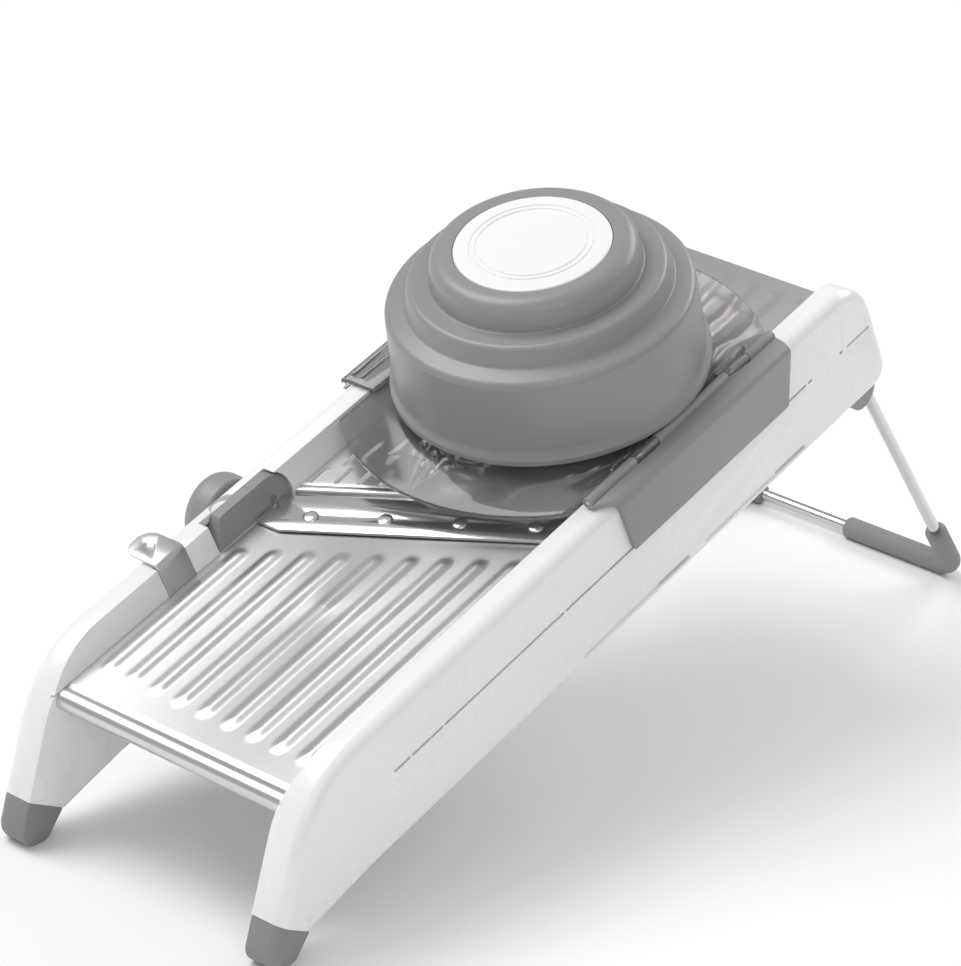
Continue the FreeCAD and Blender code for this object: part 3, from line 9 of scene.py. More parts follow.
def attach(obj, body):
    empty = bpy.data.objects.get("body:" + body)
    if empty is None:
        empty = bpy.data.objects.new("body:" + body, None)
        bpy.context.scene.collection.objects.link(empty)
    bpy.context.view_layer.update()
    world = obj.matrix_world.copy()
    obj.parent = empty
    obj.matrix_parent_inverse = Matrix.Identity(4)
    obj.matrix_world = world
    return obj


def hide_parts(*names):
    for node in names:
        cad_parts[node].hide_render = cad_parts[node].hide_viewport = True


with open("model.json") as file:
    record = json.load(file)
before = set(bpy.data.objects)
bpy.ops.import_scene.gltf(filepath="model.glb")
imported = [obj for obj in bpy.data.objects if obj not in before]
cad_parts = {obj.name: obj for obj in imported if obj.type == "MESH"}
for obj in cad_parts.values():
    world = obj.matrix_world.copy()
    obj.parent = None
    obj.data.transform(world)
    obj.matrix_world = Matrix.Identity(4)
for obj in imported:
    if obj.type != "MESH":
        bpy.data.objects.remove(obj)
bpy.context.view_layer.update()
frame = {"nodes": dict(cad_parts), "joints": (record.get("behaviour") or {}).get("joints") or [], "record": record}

bl_info = {
    "name": "Mandoline Slicer",
    "version": (1, 0, 0),
    "blender": (4, 5, 0),
    "location": "3D View > Sidebar > Mandoline",
    "description": "Finishes and fine pieces for an adjustable mandoline slicer",
    "category": "Object",
}

MM = 0.001
JOINTS = {joint["name"]: joint for joint in frame["joints"]}

# The deck frame: X to the right, Y rearwards up the deck, Z square to the deck.
ALONG = Vector(JOINTS["holder_slide"]["axis"]).normalized()
UP = Vector(JOINTS["pusher_lift"]["axis"]).normalized()
STAND_PIVOT = Vector(JOINTS["stand_fold"]["pos_m"])
STAND_V = 336 * MM
STAND_DEPTH = 40 * MM
DECK_ORIGIN = STAND_PIVOT - ALONG * STAND_V + UP * STAND_DEPTH
DECK_TILT = math.atan2(ALONG.z, ALONG.y)
HOLDER_V = (Vector(JOINTS["guide_flip"]["pos_m"]) - DECK_ORIGIN).dot(ALONG)
DIAL_CENTRE = Vector(JOINTS["dial_turn"]["pos_m"])
BLADE_SLOPE = math.tan(math.radians(25.6))

# The camera's lens in mm, its spot in the deck frame in metres and its turn in degrees.
CAMERA_LENS = 148.57
CAMERA_SPOT = (0.841844, -0.672063, 0.938119)
CAMERA_TURN = (65.3294, -3.7991, 39.1710)
# The studio, in metres and watts; each softbox has its name, spot, width and height, and power.
FLOOR_HALF = 6.0
FLOOR_WHITE = (0.93, 0.93, 0.93)
WORLD_STRENGTH = 0.5
SOFTBOX_TARGET = (0, 0, 0.05)
SOFTBOXES = (
    ("key_softbox", (-0.9, -0.5, 1.7), (1.2, 1.2), 24),
    ("front_softbox", (1.6, -1.6, 1.2), (1.4, 1.2), 8),
    ("rear_softbox", (0.3, 1.9, 1.3), (1.6, 0.8), 16),
)

# Places along the deck on its centre line, in metres unless a comment says otherwise.
RUN_OUT_REAR = 144 * MM
RUN_OUT_RIBS = (15.2 * MM, 118 * MM)
LIP_FRONT = 157.5 * MM
RUN_IN_REAR = 331 * MM
RUN_IN_RIBS = (213 * MM, 325 * MM)
CREASE_V = 2.6 * MM
CREASE_REACH = 2.2 * MM
CREASE_DEPTH = 0.45 * MM
RIVET_LINE = 138.7 * MM
# The rolled hem, in degrees of turn about its own middle, and the plates' spacing of points.
HEM_START, HEM_SWEEP, HEM_STEPS = 310.0, 220.0, 28
COLUMN_STEP = 0.55 * MM
# Edges of ground and pressed steel.
BLADE_EDGE = 0.12 * MM
TAB_EDGE = 0.25 * MM
# The slots of the run-in plate and the rivets across the deck, in millimetres.
SLOT_FIRST_U, SLOT_LAST_U, SLOT_PITCH, SLOT_COLUMNS = -51.7, 50, 8.2, 13
SLOT_FRONT, SLOT_ROW, SLOT_ROWS = 168, 12.1, 3
SLOT_LENGTH, SLOT_WIDTH, SLOT_CUT = 10.6, 2.4, 2.6
RIVET_FIRST_U, RIVET_PITCH, RIVETS = -37.1, 26.4, 4
# The wire stand, in metres, and how its sleeves' ends round off: (back in mm, share of radius).
STAND_LEAN = math.radians(40.3)
STAND_HALF = 57.5 * MM
STAND_TOP = 61.5 * MM
STUB_END = 66.55 * MM
STUB_BEND = 3 * MM
WIRE_BEND = 9 * MM
LEG_SPLAY = 4 * MM
SLEEVE_UP_LEG = 33 * MM
SLEEVE_BARS = {"left_stand_sleeve": 14 * MM, "right_stand_sleeve": 56 * MM}
SLEEVE_ENDS = [(0.0, 0.74), (0.35, 0.86), (0.9, 0.955), (1.7, 1.0)]


def deck_place(u=0.0, v=0.0, w=0.0):
    """Matrix that takes a piece drawn in the deck frame to its place; lengths in metres."""
    turn = Matrix.Rotation(DECK_TILT, 4, "X")
    return Matrix.Translation(DECK_ORIGIN) @ turn @ Matrix.Translation((u, v, w))


# ---------------------------------------------------------------- sizes and colours


def length(name, description, millimetres):
    return bpy.props.FloatProperty(
        name=name, description=description, default=millimetres * MM, min=0.0, unit="LENGTH",
        precision=5)


def tint(name, description, colour):
    return bpy.props.FloatVectorProperty(
        name=name, description=description, default=colour, size=3, min=0.0, max=1.0,
        subtype="COLOR")


class SlicerFinishes(bpy.types.PropertyGroup):
    """Colours of the slicer's plastics, rubber and steels"""

    rail_white: tint("Rail White", "Moulded white of the rails and the cap", (0.83, 0.83, 0.825))
    cup_grey: tint("Cup Grey", "Soft grey of the pusher cup", (0.255, 0.253, 0.257))
    grip_grey: tint("Grip Grey", "Grey of the guide, knob and lock", (0.262, 0.262, 0.266))
    rubber_grey: tint("Rubber Grey", "Grey of the feet and the sleeves", (0.235, 0.235, 0.24))
    smoke: tint("Smoked Clear", "Tint of the clear holder", (0.66, 0.645, 0.665))
    deck_steel: tint("Deck Steel", "Satin stainless steel of the plates", (0.66, 0.66, 0.65))
    blade_steel: tint("Blade Steel", "Polished steel of the blade", (0.72, 0.725, 0.73))
    chrome: tint("Chrome", "Bright plating of the stand", (0.6, 0.605, 0.61))


class SlicerSizes(bpy.types.PropertyGroup):
    """Fine sizes that the finished pieces add to the design"""

    edge: length("Moulded Edge", "Rounding of moulded edges", 0.7)
    plate_half: length("Plate Half Width", "Half the width of the plates", 54.6)
    sheet: length("Sheet", "Thickness of the plates", 0.8)
    hem: length("Hem Radius", "Rolled front edge of the run-out plate", 4.2)
    rib_pitch: length("Rib Pitch", "Spacing of the ribs", 12.0)
    rib_width: length("Rib Width", "Width of one rib", 8.4)
    rib_height: length("Rib Height", "Height of one rib", 0.85)
    wire: length("Wire Radius", "Radius of the stand's wire", 2.5)
    sleeve: length("Sleeve Radius", "Outer radius of the rubber sleeves", 4.75)


# ---------------------------------------------------------------- finishes


class Finish:
    """A node material with small helpers; the shader's constant values go on its own sockets."""

    def __init__(self, name, colour, roughness, metallic=0.0, **sockets):
        self.material = bpy.data.materials.new(name)
        self.material.use_nodes = True
        self.tree = self.material.node_tree
        self.shader = self.tree.nodes["Principled BSDF"]
        self.shader.inputs["Base Color"].default_value = (*colour, 1.0)
        self.shader.inputs["Roughness"].default_value = roughness
        self.shader.inputs["Metallic"].default_value = metallic
        for socket, value in sockets.items():
            self.shader.inputs[socket.replace("_", " ")].default_value = value

    def node(self, kind, **settings):
        made = self.tree.nodes.new(kind)
        for name, value in settings.items():
            setattr(made, name, value)
        return made

    def link(self, source, target):
        self.tree.links.new(source, target)

    def grain(self, scale, stretch=(1.0, 1.0, 1.0), detail=3.0, tilt=0.0):
        """Noise in object space, stretched along the deck's axes; returns its factor socket."""
        place = self.node("ShaderNodeTexCoord")
        mapping = self.node("ShaderNodeMapping")
        mapping.inputs["Rotation"].default_value = (-tilt, 0.0, 0.0)
        mapping.inputs["Scale"].default_value = stretch
        noise = self.node("ShaderNodeTexNoise")
        noise.inputs["Scale"].default_value = scale
        noise.inputs["Detail"].default_value = detail
        self.link(place.outputs["Object"], mapping.inputs["Vector"])
        self.link(mapping.outputs["Vector"], noise.inputs["Vector"])
        return noise.outputs["Fac"]

    def spread(self, factor, low, high):
        """Maps a factor from its middle range to low..high."""
        spread = self.node("ShaderNodeMapRange")
        spread.inputs["From Min"].default_value = 0.3
        spread.inputs["From Max"].default_value = 0.7
        spread.inputs["To Min"].default_value = low
        spread.inputs["To Max"].default_value = high
        self.link(factor, spread.inputs["Value"])
        return spread.outputs["Result"]

    def vary_roughness(self, factor, low, high):
        self.link(self.spread(factor, low, high), self.shader.inputs["Roughness"])

    def vary_colour(self, factor, dark, light):
        mix = self.node("ShaderNodeMix", data_type="RGBA")
        mix.inputs["A"].default_value = (*dark, 1.0)
        mix.inputs["B"].default_value = (*light, 1.0)
        self.link(self.spread(factor, 0.0, 1.0), mix.inputs["Factor"])
        self.link(mix.outputs["Result"], self.shader.inputs["Base Color"])

    def bump(self, factor, strength, height):
        bump = self.node("ShaderNodeBump")
        bump.inputs["Strength"].default_value = strength
        bump.inputs["Distance"].default_value = height
        self.link(factor, bump.inputs["Height"])
        self.link(bump.outputs["Normal"], self.shader.inputs["Normal"])


def shade(colour, factor):
    """The colour made darker or lighter by a factor, at most white."""
    return tuple(min(1.0, part * factor) for part in colour)


def moulded_plastic(name, colour, roughness, texture=900.0, relief=0.015, **sockets):
    finish = Finish(name, colour, roughness, **sockets)
    finish.vary_roughness(finish.grain(60.0), roughness * 0.96, roughness * 1.05)
    finish.vary_colour(finish.grain(28.0, detail=2.0), shade(colour, 0.99), shade(colour, 1.01))
    finish.bump(finish.grain(texture, detail=1.0), relief, 0.00004)
    return finish.material


def satin_steel(name, colour, roughness, stretch, relief=0.06, scale=300.0, **sockets):
    finish = Finish(name, colour, roughness, 1.0, **sockets)
    brushing = finish.grain(scale, stretch, 4.0, DECK_TILT)
    finish.vary_roughness(brushing, roughness * 0.92, roughness * 1.1)
    finish.vary_colour(finish.grain(22.0, detail=2.0), shade(colour, 0.97), shade(colour, 1.02))
    finish.bump(brushing, relief, 0.000004)
    return finish.material


def clear_plastic(name, colour, roughness):
    finish = Finish(name, colour, roughness, Transmission_Weight=0.88, IOR=1.42)
    finish.vary_roughness(finish.grain(70.0), roughness * 0.7, roughness * 1.4)
    finish.bump(finish.grain(220.0, detail=1.0), 0.03, 0.00005)
    return finish.material


def make_finishes(colours):
    along = (24.0, 1.0, 4.0)
    across = (1.0, 24.0, 4.0)
    return {
        "white_plastic": moulded_plastic(
            "white_plastic", colours.rail_white, 0.27, Coat_Weight=0.15, Coat_Roughness=0.12),
        "grey_plastic": moulded_plastic("grey_plastic", colours.grip_grey, 0.42, 1800.0, 0.12),
        "cup_grey": moulded_plastic("cup_grey", colours.cup_grey, 0.36, 2200.0, 0.06,
                                    Coat_Weight=0.1, Coat_Roughness=0.3),
        "grey_grip": moulded_plastic("grey_grip", colours.rubber_grey, 0.58, 1500.0, 0.2),
        "clear_plastic": clear_plastic("clear_plastic", colours.smoke, 0.06),
        "deck_steel": satin_steel("deck_steel", colours.deck_steel, 0.3, along,
                                  Anisotropic=0.4),
        "blade_steel": satin_steel("blade_steel", colours.blade_steel, 0.2, across, 0.04),
        "screw_steel": satin_steel("screw_steel", colours.blade_steel, 0.3, (8.0, 8.0, 8.0)),
        "chrome_wire": satin_steel("chrome_wire", colours.chrome, 0.07, (3.0, 3.0, 3.0), 0.02),
    }


FINISHES = {}


def slot_of(node):
    """The material slot that the record gives a CAD node."""
    for part in frame["record"]["subparts"]:
        if part["node"] == node:
            return part["material_slot"]
    raise RuntimeError(f"the record has no node {node}")


# ---------------------------------------------------------------- mesh tools


def finish_piece(name, mesh, body, slot, nodes, smooth_angle=35.0):
    """Links a mesh as a piece that rides a body and stands for the given CAD nodes."""
    mesh.set_sharp_from_angle(angle=math.radians(smooth_angle))
    mesh.materials.clear()
    mesh.materials.append(FINISHES[slot])
    for polygon in mesh.polygons:
        polygon.use_smooth = True
        polygon.material_index = 0
    piece = bpy.data.objects.new(name, mesh)
    bpy.context.scene.collection.objects.link(piece)
    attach(piece, body)
    if nodes:
        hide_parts(*nodes)
    return piece


def body_of_node(node):
    """The name of the moving body that holds a CAD node."""
    for body, members in frame["record"]["behaviour"]["bodies"].items():
        if node in members:
            return body
    raise RuntimeError(f"no body holds {node}")


def softened(node, name, width, segments=2, angle=38.0):
    """A copy of a CAD node's skin with its sharp edges rounded, standing for that node."""
    work = bmesh.new()
    work.from_mesh(frame["nodes"][node].data)
    bmesh.ops.remove_doubles(work, verts=work.verts, dist=2e-6)
    bmesh.ops.dissolve_limit(work, angle_limit=math.radians(0.6), verts=work.verts,
                             edges=work.edges)
    mesh = bpy.data.meshes.new(name)
    work.to_mesh(mesh)
    work.free()
    carrier = bpy.data.objects.new(name, mesh)
    bpy.context.scene.collection.objects.link(carrier)
    bevel = carrier.modifiers.new("Rounding", "BEVEL")
    bevel.width = width
    bevel.segments = segments
    bevel.limit_method = "ANGLE"
    bevel.angle_limit = math.radians(angle)
    bevel.use_clamp_overlap = True
    seen = bpy.context.evaluated_depsgraph_get()
    made = bpy.data.meshes.new_from_object(carrier.evaluated_get(seen))
    bpy.data.objects.remove(carrier)
    made.name = name
    return finish_piece(name, made, body_of_node(node), slot_of(node), [node])


def rounded_path(corners, steps=8):
    """Points along straight runs; a corner given as (x, y, radius) is rounded by an arc."""
    count = len(corners)
    path = []
    for i, corner in enumerate(corners):
        spot = Vector(corner[:2])
        if len(corner) == 2:
            path.append(spot)
            continue
        back = (Vector(corners[i - 1][:2]) - spot).normalized()
        ahead = (Vector(corners[(i + 1) % count][:2]) - spot).normalized()
        half = back.angle(ahead) / 2
        reach = corner[2] / math.tan(half)
        centre = spot + (back + ahead).normalized() * math.hypot(corner[2], reach)
        first = (spot + back * reach) - centre
        last = (spot + ahead * reach) - centre
        sweep = first.angle_signed(last)
        for step in range(steps + 1):
            turned = first.copy()
            turned.rotate(Matrix.Rotation(-sweep * step / steps, 2))
            path.append(centre + turned)
    return path


def lathe(path, turns=128, work=None, place=None):
    """Spins a closed (radius, height) path about Z into a closed skin, added to work."""
    work = work or bmesh.new()
    place = place or Matrix.Identity(4)
    rings = []
    for point in path:
        count = 1 if point[0] < 1e-7 else turns
        ring = []
        for i in range(count):
            turn = 2 * math.pi * i / turns
            spot = (point[0] * math.cos(turn), point[0] * math.sin(turn), point[1])
            ring.append(work.verts.new(place @ Vector(spot)))
        rings.append(ring)
    faces = []
    for near, far in zip(rings, rings[1:] + rings[:1]):
        if len(near) == 1 and len(far) == 1:
            continue
        for i in range(turns):
            j = (i + 1) % turns
            if len(near) == 1:
                corners = (near[0], far[i], far[j])
            elif len(far) == 1:
                corners = (near[i], near[j], far[0])
            else:
                corners = (near[i], near[j], far[j], far[i])
            faces.append(work.faces.new(corners))
    bmesh.ops.recalc_face_normals(work, faces=faces)
    return work


def tube(path, radii, turns=32):
    """A round skin along a path of points, with its own radius at each point and closed ends."""
    work = bmesh.new()
    side = None
    rings = []
    for i, (spot, radius) in enumerate(zip(path, radii)):
        ahead = (path[min(i + 1, len(path) - 1)] - path[max(i - 1, 0)]).normalized()
        side = (side - ahead * side.dot(ahead)).normalized() if side else ahead.orthogonal()
        up = ahead.cross(side).normalized()
        rings.append([
            work.verts.new(spot + (side.normalized() * math.cos(2 * math.pi * j / turns)
                                   + up * math.sin(2 * math.pi * j / turns)) * radius)
            for j in range(turns)
        ])
    faces = [work.faces.new(rings[0]), work.faces.new(rings[-1])]
    for near, far in zip(rings, rings[1:]):
        for j in range(turns):
            k = (j + 1) % turns
            faces.append(work.faces.new((near[j], near[k], far[k], far[j])))
    bmesh.ops.recalc_face_normals(work, faces=faces)
    return work


def sheet(rows, thickness):
    """A closed sheet of metal from rows of points on its upper face."""
    work = bmesh.new()
    made = [[work.verts.new(spot) for spot in row] for row in rows]
    for near, far in zip(made, made[1:]):
        for j in range(len(near) - 1):
            work.faces.new((near[j], near[j + 1], far[j + 1], far[j]))
    bmesh.ops.recalc_face_normals(work, faces=work.faces)
    if sum(face.normal.z for face in work.faces) < 0:
        bmesh.ops.reverse_faces(work, faces=work.faces)
    bmesh.ops.solidify(work, geom=work.faces[:], thickness=thickness)
    bmesh.ops.recalc_face_normals(work, faces=work.faces)
    return work


def long_slots(places, half_length, half_width, depth):
    """Prisms with round ends that cut slots; places are their middles."""
    work = bmesh.new()
    steps = 8
    for u, v in places:
        ring = []
        for end, first in ((1, 0.0), (-1, math.pi)):
            for i in range(steps + 1):
                turn = first + math.pi * i / steps
                ring.append((u + half_width * math.cos(turn),
                             v + (half_length - half_width) * end + half_width * math.sin(turn)))
        low = [work.verts.new((*spot, -depth)) for spot in ring]
        high = [work.verts.new((*spot, depth)) for spot in ring]
        work.faces.new(low)
        work.faces.new(high)
        for i in range(len(ring)):
            j = (i + 1) % len(ring)
            work.faces.new((low[i], low[j], high[j], high[i]))
    bmesh.ops.recalc_face_normals(work, faces=work.faces)
    return work


def cut_out(name, mesh, cutter_work):
    """The mesh with the cutter taken away from it."""
    carrier = bpy.data.objects.new(name, mesh)
    knife_mesh = bpy.data.meshes.new(name + "_knife")
    cutter_work.to_mesh(knife_mesh)
    cutter_work.free()
    knife = bpy.data.objects.new(name + "_knife", knife_mesh)
    for item in (carrier, knife):
        bpy.context.scene.collection.objects.link(item)
    cut = carrier.modifiers.new("Cut", "BOOLEAN")
    cut.operation = "DIFFERENCE"
    cut.solver = "EXACT"
    cut.object = knife
    seen = bpy.context.evaluated_depsgraph_get()
    made = bpy.data.meshes.new_from_object(carrier.evaluated_get(seen))
    for item in (carrier, knife):
        bpy.data.objects.remove(item)
    bpy.data.meshes.remove(knife_mesh)
    made.name = name
    return made


def to_mesh(name, work, place):
    """Turns the edited mesh into a named one, moved to its place."""
    mesh = bpy.data.meshes.new(name)
    work.to_mesh(mesh)
    work.free()
    mesh.transform(place)
    return mesh


# ---------------------------------------------------------------- pieces


class SLICER_OT_Finishes(bpy.types.Operator):
    """Makes the slicer's finishes and puts them on every node of the frame"""

    bl_idname = "slicer.finishes"
    bl_label = "Finishes"

    def execute(self, context):
        FINISHES.update(make_finishes(context.scene.slicer_finishes))
        for name, node in frame["nodes"].items():
            node.data.materials.clear()
            node.data.materials.append(FINISHES[slot_of(name)])
            for polygon in node.data.polygons:
                polygon.material_index = 0
        return {"FINISHED"}


class SLICER_OT_Camera(bpy.types.Operator):
    """Places the camera in front of the slicer's right corner"""

    bl_idname = "slicer.camera"
    bl_label = "Camera"

    def execute(self, context):
        data = bpy.data.cameras.new("camera")
        data.lens = CAMERA_LENS
        data.sensor_width = 36.0
        data.sensor_fit = "AUTO"
        data.clip_end = 20.0
        camera = bpy.data.objects.new("camera", data)
        context.scene.collection.objects.link(camera)
        camera.location = deck_place() @ Vector(CAMERA_SPOT)
        camera.rotation_euler = [math.radians(angle) for angle in CAMERA_TURN]
        context.scene.camera = camera
        return {"FINISHED"}


def softbox(name, spot, size, power):
    """Hangs an area light at a spot, turned towards the slicer."""
    data = bpy.data.lights.new(name, "AREA")
    data.shape = "RECTANGLE"
    data.size, data.size_y = size
    data.energy = power
    light = bpy.data.objects.new(name, data)
    bpy.context.scene.collection.objects.link(light)
    light.location = spot
    aim = Vector(SOFTBOX_TARGET) - Vector(spot)
    light.rotation_euler = aim.to_track_quat("-Z", "Y").to_euler()


class SLICER_OT_Stage(bpy.types.Operator):
    """Lays a pale floor and sets soft studio lights"""

    bl_idname = "slicer.stage"
    bl_label = "Stage"

    def execute(self, context):
        work = bmesh.new()
        bmesh.ops.create_grid(work, x_segments=1, y_segments=1, size=FLOOR_HALF)
        mesh = to_mesh("floor", work, Matrix.Identity(4))
        floor = bpy.data.objects.new("floor", mesh)
        context.scene.collection.objects.link(floor)
        mesh.materials.append(Finish("floor_white", FLOOR_WHITE, 0.6).material)
        world = bpy.data.worlds.new("studio")
        world.use_nodes = True
        world.node_tree.nodes["Background"].inputs["Color"].default_value = (1, 1, 1, 1)
        world.node_tree.nodes["Background"].inputs["Strength"].default_value = WORLD_STRENGTH
        context.scene.world = world
        for box in SOFTBOXES:
            softbox(*box)
        context.scene.view_settings.view_transform = "Standard"
        return {"FINISHED"}


def millimetres(path):
    """A flat path given in millimetres, in metres."""
    return [(x * MM, y * MM) for x, y in path]


def turned_piece(name, corners, place, nodes, body, turns=160):
    """A lathe piece from (radius, height, rounding) corners in millimetres."""
    path = millimetres(rounded_path(corners))
    return finish_piece(name, to_mesh(name, lathe(path, turns), place), body,
                        slot_of(nodes[0]), nodes)


class SLICER_OT_Cup(bpy.types.Operator):
    """Turns the pusher cup and its cap"""

    bl_idname = "slicer.cup"
    bl_label = "Pusher Cup"

    def execute(self, context):
        place = deck_place(0.0, HOLDER_V, 0.0)
        turned_piece("pusher_cup_skin", [
            (62.6, 17.2, 0.4), (62.6, 19.6, 1.0), (60.9, 22.2, 6.0), (59.9, 53.0, 3.5),
            (52.0, 55.2, 1.2), (49.5, 63.0, 2.6), (41.0, 63.2, 1.0), (39.6, 75.0, 6.0),
            (30.7, 75.0, 0.3), (30.7, 72.4), (8.6, 72.4), (8.6, 50.0), (6.06, 50.0),
            (6.06, 42.0), (10.4, 42.0), (10.4, 70.2), (37.4, 70.2, 1.0), (37.4, 60.8),
            (47.3, 60.8), (47.3, 50.8), (57.7, 50.8, 3.0), (57.7, 28.5), (55.4, 28.5),
            (55.4, 26.3), (58.3, 26.3), (59.6, 17.2, 0.3),
        ], place, ["pusher_cup"], "cup")
        rings = []
        for radius in (21.4, 23.8):
            rings += [(radius - 0.7, 75.5, 0.2), (radius - 0.5, 75.0, 0.1),
                      (radius + 0.5, 75.0, 0.1), (radius + 0.7, 75.5, 0.2)]
        turned_piece("cup_cap_skin", [
            (0.0, 72.5), (0.0, 75.9), (12.0, 75.8, 30.0), *rings, (30.5, 75.2, 0.9),
            (30.5, 72.5),
        ], place, ["cup_cap"], "cup")
        return {"FINISHED"}


def dome(reach, distance):
    """Smooth rise from 0 at the given reach to 1 in the middle."""
    if distance >= reach:
        return 0.0
    return 0.5 + 0.5 * math.cos(math.pi * distance / reach)


def rib_rise(sizes, u, v, front, rear):
    """Height of the nearest rib; front and rear give a rib's ends at its own u."""
    rise = 0.0
    reach = sizes.rib_width / 2
    for i in range(-4, 5):
        rib_u = sizes.rib_pitch * i
        if abs(u - rib_u) >= reach:
            continue
        past = max(front(rib_u) + reach - v, v - rear(rib_u) + reach, 0.0)
        rise = max(rise, dome(reach, math.hypot(u - rib_u, past)))
    return rise * sizes.rib_height


def spaced(low, high, step):
    """Even values from low to high, about a step apart."""
    count = max(1, round((high - low) / step))
    return [low + (high - low) * i / count for i in range(count + 1)]


def diagonal(on_centre, u):
    """Where a line that slants like the blade lies along the deck, at u."""
    return on_centre + BLADE_SLOPE * u


class SLICER_OT_Plates(bpy.types.Operator):
    """Presses the two ribbed plates of the deck"""

    bl_idname = "slicer.plates"
    bl_label = "Deck Plates"

    def execute(self, context):
        sizes = context.scene.slicer_sizes
        columns = spaced(-sizes.plate_half, sizes.plate_half, COLUMN_STEP)
        hem = sizes.hem
        # run-out plate: the rolled hem, a shallow crease behind it, then the ribbed field
        rows = []
        for step in range(HEM_STEPS + 1):
            turn = math.radians(HEM_START - HEM_SWEEP * step / HEM_STEPS)
            spot = (hem * math.cos(turn), hem * math.sin(turn) - hem)
            rows.append([(u, *spot) for u in columns])
        # the rows stand closer where the crease bends the sheet
        shares = [0.004 * i for i in range(1, 12)] + spaced(0.052, 1.0, 0.011)
        for part in shares:
            row = []
            for u in columns:
                v = part * diagonal(RUN_OUT_REAR, u)
                w = rib_rise(sizes, u, v, lambda x: RUN_OUT_RIBS[0],
                             lambda x: diagonal(RUN_OUT_RIBS[1], x))
                w -= CREASE_DEPTH * dome(CREASE_REACH, abs(v - CREASE_V))
                row.append((u, v, w))
            rows.append(row)
        plate = to_mesh("run_out_plate_skin", sheet(rows, sizes.sheet), deck_place())
        finish_piece(plate.name, plate, "frame", slot_of("run_out_plate"), ["run_out_plate"])

        # run-in plate: the rolled lip beside the blade, the slotted strip, then the ribs
        # the lip's points are (back, up) in millimetres
        lip = [(2.6, -3.2), (1.6, -3.2), (0.95, -3.06), (0.4, -2.65), (0.1, -2.1), (0.0, -1.6),
               (0.1, -1.05), (0.4, -0.5), (0.95, -0.12), (1.6, 0.0), (2.4, 0.02), (3.0, -0.03),
               (3.4, -0.16), (3.8, -0.24), (4.2, -0.2), (4.8, -0.05), (5.4, 0.0)]
        rows = [[(u, diagonal(LIP_FRONT, u) + back * MM, w * MM) for u in columns]
                for back, w in lip]
        for part in spaced(0.0, 1.0, 0.0085)[1:]:
            row = []
            for u in columns:
                low = diagonal(LIP_FRONT, u) + lip[-1][0] * MM
                v = low + part * (RUN_IN_REAR - low)
                w = rib_rise(sizes, u, v, lambda x: diagonal(RUN_IN_RIBS[0], x),
                             lambda x: RUN_IN_RIBS[1])
                row.append((u, v, w))
            rows.append(row)
        # the rear edge is turned down
        rows.append([(u, RUN_IN_REAR + 0.02 * MM, -4.0 * MM) for u in columns])
        places = []
        for row in range(SLOT_ROWS):
            for column in range(SLOT_COLUMNS):
                u = (SLOT_FIRST_U + SLOT_PITCH * (column + (row % 2) * 0.5)) * MM
                if u <= SLOT_LAST_U * MM:
                    places.append((u, diagonal((SLOT_FRONT + SLOT_ROW * row) * MM, u)))
        mesh = to_mesh("run_in_plate_skin", sheet(rows, sizes.sheet), Matrix.Identity(4))
        mesh = cut_out("run_in_plate_skin", mesh,
                       long_slots(places, SLOT_LENGTH / 2 * MM, SLOT_WIDTH / 2 * MM,
                                  SLOT_CUT * MM))
        mesh.transform(deck_place())
        finish_piece(mesh.name, mesh, "run_in", slot_of("run_in_plate"), ["run_in_plate"])
        return {"FINISHED"}


class SLICER_OT_Blade(bpy.types.Operator):
    """Grinds the blade and sets its domed rivets"""

    bl_idname = "slicer.blade"
    bl_label = "Blade"

    def execute(self, context):
        softened("main_blade", "main_blade_skin", BLADE_EDGE)
        work = bmesh.new()
        head = [(0.0, -1.2), (2.3, -1.2, 0.3), (2.3, -0.8), (1.5, -0.8), (1.5, 1.7),
                (3.1, 1.7), (3.1, 2.0, 0.25), (2.2, 2.42, 1.6), (0.9, 2.55, 1.0), (0.0, 2.56)]
        path = millimetres(rounded_path(head, 5))
        for i in range(RIVETS):
            u = (RIVET_FIRST_U + RIVET_PITCH * i) * MM
            lathe(path, 48, work, Matrix.Translation((u, diagonal(RIVET_LINE, u), 0.0)))
        mesh = to_mesh("blade_rivets_skin", work, deck_place())
        finish_piece(mesh.name, mesh, "frame", slot_of("blade_rivets"), ["blade_rivets"])
        return {"FINISHED"}


class SLICER_OT_Knob(bpy.types.Operator):
    """Turns the thickness knob"""

    bl_idname = "slicer.knob"
    bl_label = "Thickness Knob"

    def execute(self, context):
        centre = DIAL_CENTRE.copy()
        centre.x = DECK_ORIGIN.x
        turn = Matrix.Rotation(math.radians(-90.0), 4, "Y")
        turned_piece("thickness_knob_skin", [
            (3.02, 73.5), (3.02, 78.5), (0.0, 78.5), (0.0, 85.0), (9.0, 84.9, 30.0),
            (14.9, 84.2, 4.0), (16.2, 80.0, 3.0), (16.0, 72.5, 1.2), (6.0, 72.5, 0.3),
            (6.0, 73.5),
        ], Matrix.Translation(centre) @ turn, ["thickness_knob"], "dial", turns=96)
        return {"FINISHED"}


def bent_path(corners, steps=10):
    """Points of an open path of straight runs with rounded corners, in the stand's plane."""
    path = [Vector(corners[0][:2])]
    for i in range(1, len(corners) - 1):
        path += rounded_path([corners[i - 1][:2], corners[i], corners[i + 1][:2]], steps)[1:-1]
    path.append(Vector(corners[-1][:2]))
    return path


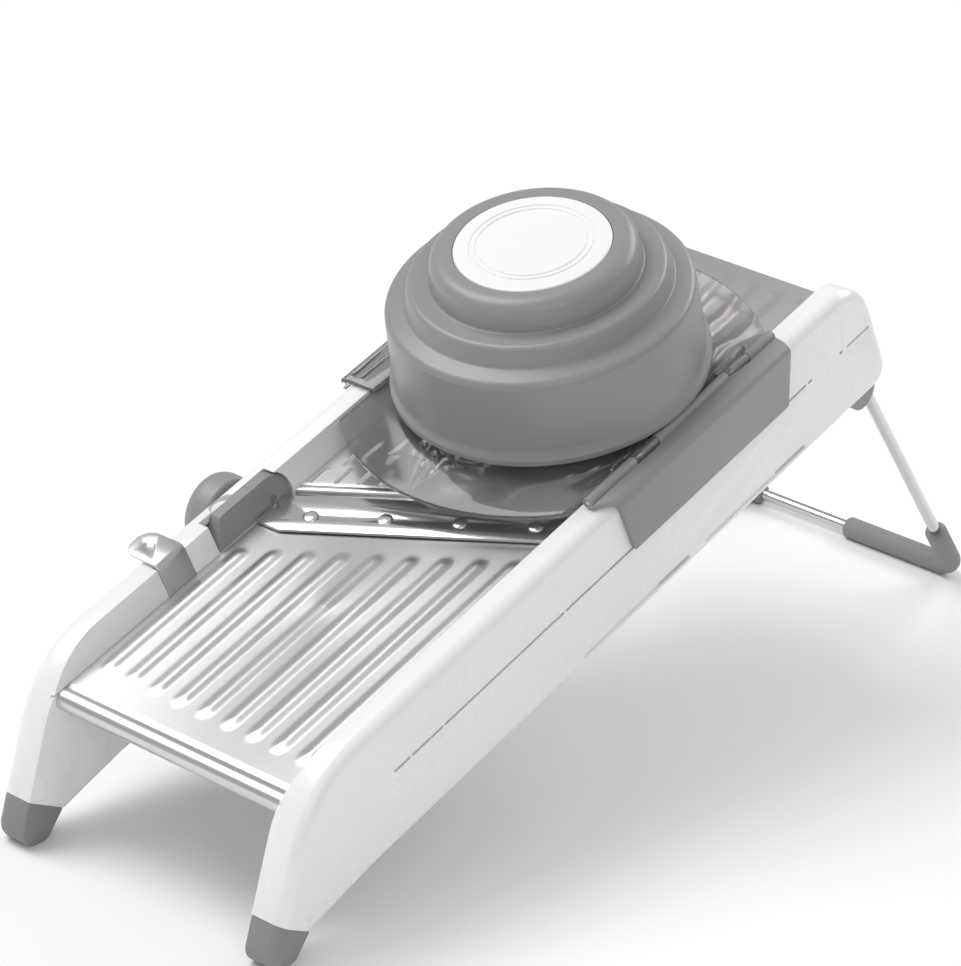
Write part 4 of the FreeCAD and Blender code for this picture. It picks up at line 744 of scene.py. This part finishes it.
class SLICER_OT_Stand(bpy.types.Operator):
    """Bends the chromed wire of the stand and slips on its rubber sleeves"""

    bl_idname = "slicer.stand"
    bl_label = "Wire Stand"

    def execute(self, context):
        sizes = context.scene.slicer_sizes
        leg = (STAND_PIVOT.z - sizes.sleeve) / math.cos(STAND_LEAN)
        place = (Matrix.Translation((DECK_ORIGIN.x, STAND_PIVOT.y, STAND_PIVOT.z))
                 @ Matrix.Rotation(STAND_LEAN, 4, "X"))
        corners = [(-STUB_END, 0.0), (-STAND_TOP, 0.0, STUB_BEND),
                   (-STAND_HALF, -leg, WIRE_BEND), (STAND_HALF, -leg, WIRE_BEND),
                   (STAND_TOP, 0.0, STUB_BEND), (STUB_END, 0.0)]
        path = [Vector((x, 0.0, z)) for x, z in bent_path(corners)]
        work = tube(path, [sizes.wire] * len(path), 28)
        mesh = to_mesh("stand_wire_skin", work, place)
        finish_piece(mesh.name, mesh, "stand", slot_of("stand_wire"), ["stand_wire"])
        for side, node in ((-1, "left_stand_sleeve"), (1, "right_stand_sleeve")):
            high = leg - SLEEVE_UP_LEG
            high_u = STAND_HALF + LEG_SPLAY * (SLEEVE_UP_LEG / leg)
            corners = [((STAND_HALF - SLEEVE_BARS[node]) * side, -leg),
                       (STAND_HALF * side, -leg, WIRE_BEND), (high_u * side, -high)]
            path = [Vector((x, 0.0, z)) for x, z in bent_path(corners, 14)]
            first = (path[0] - path[1]).normalized()
            last = (path[-1] - path[-2]).normalized()
            full = ([path[0] - first * back * MM for back, share in SLEEVE_ENDS] + path[1:-1]
                    + [path[-1] - last * back * MM for back, share in reversed(SLEEVE_ENDS)])
            radii = ([share for back, share in SLEEVE_ENDS] + [1.0] * (len(path) - 2)
                     + [share for back, share in reversed(SLEEVE_ENDS)])
            work = tube(full, [sizes.sleeve * share for share in radii], 36)
            mesh = to_mesh(node + "_skin", work, place)
            finish_piece(mesh.name, mesh, "stand", slot_of(node), [node])
        return {"FINISHED"}


class SLICER_OT_Mouldings(bpy.types.Operator):
    """Rounds the edges of the moulded pieces and the selector tab"""

    bl_idname = "slicer.mouldings"
    bl_label = "Mouldings"

    def execute(self, context):
        edge = context.scene.slicer_sizes.edge
        for node in ("left_rail", "right_rail", "left_foot", "right_foot"):
            softened(node, node + "_skin", edge)
        for node in ("blade_lock", "right_guide"):
            softened(node, node + "_skin", edge * 0.7)
        softened("holder_tray", "holder_tray_skin", edge * 0.5)
        softened("julienne_selector", "julienne_selector_skin", TAB_EDGE)
        return {"FINISHED"}


class SLICER_PT_Panel(bpy.types.Panel):
    """Lists the slicer's pieces in the sidebar"""

    bl_label = "Mandoline Slicer"
    bl_idname = "SLICER_PT_panel"
    bl_space_type = "VIEW_3D"
    bl_region_type = "UI"
    bl_category = "Mandoline"

    def draw(self, context):
        layout = self.layout
        for group in (context.scene.slicer_finishes, context.scene.slicer_sizes):
            for name in group.bl_rna.properties.keys():
                if name not in ("rna_type", "name"):
                    layout.prop(group, name)
        for operator in PIECES:
            layout.operator(operator.bl_idname)


PIECES = (
    SLICER_OT_Finishes,
    SLICER_OT_Camera,
    SLICER_OT_Stage,
    SLICER_OT_Cup,
    SLICER_OT_Plates,
    SLICER_OT_Blade,
    SLICER_OT_Knob,
    SLICER_OT_Stand,
    SLICER_OT_Mouldings,
)
CLASSES = (SlicerFinishes, SlicerSizes) + PIECES + (SLICER_PT_Panel,)


def register():
    for each in CLASSES:
        bpy.utils.register_class(each)
    bpy.types.Scene.slicer_finishes = bpy.props.PointerProperty(type=SlicerFinishes)
    bpy.types.Scene.slicer_sizes = bpy.props.PointerProperty(type=SlicerSizes)


def unregister():
    del bpy.types.Scene.slicer_sizes
    del bpy.types.Scene.slicer_finishes
    for each in reversed(CLASSES):
        bpy.utils.unregister_class(each)


def main():
    register()
    for operator in PIECES:
        group, name = operator.bl_idname.split(".")
        getattr(getattr(bpy.ops, group), name)()


if __name__ == "__main__":
    main()
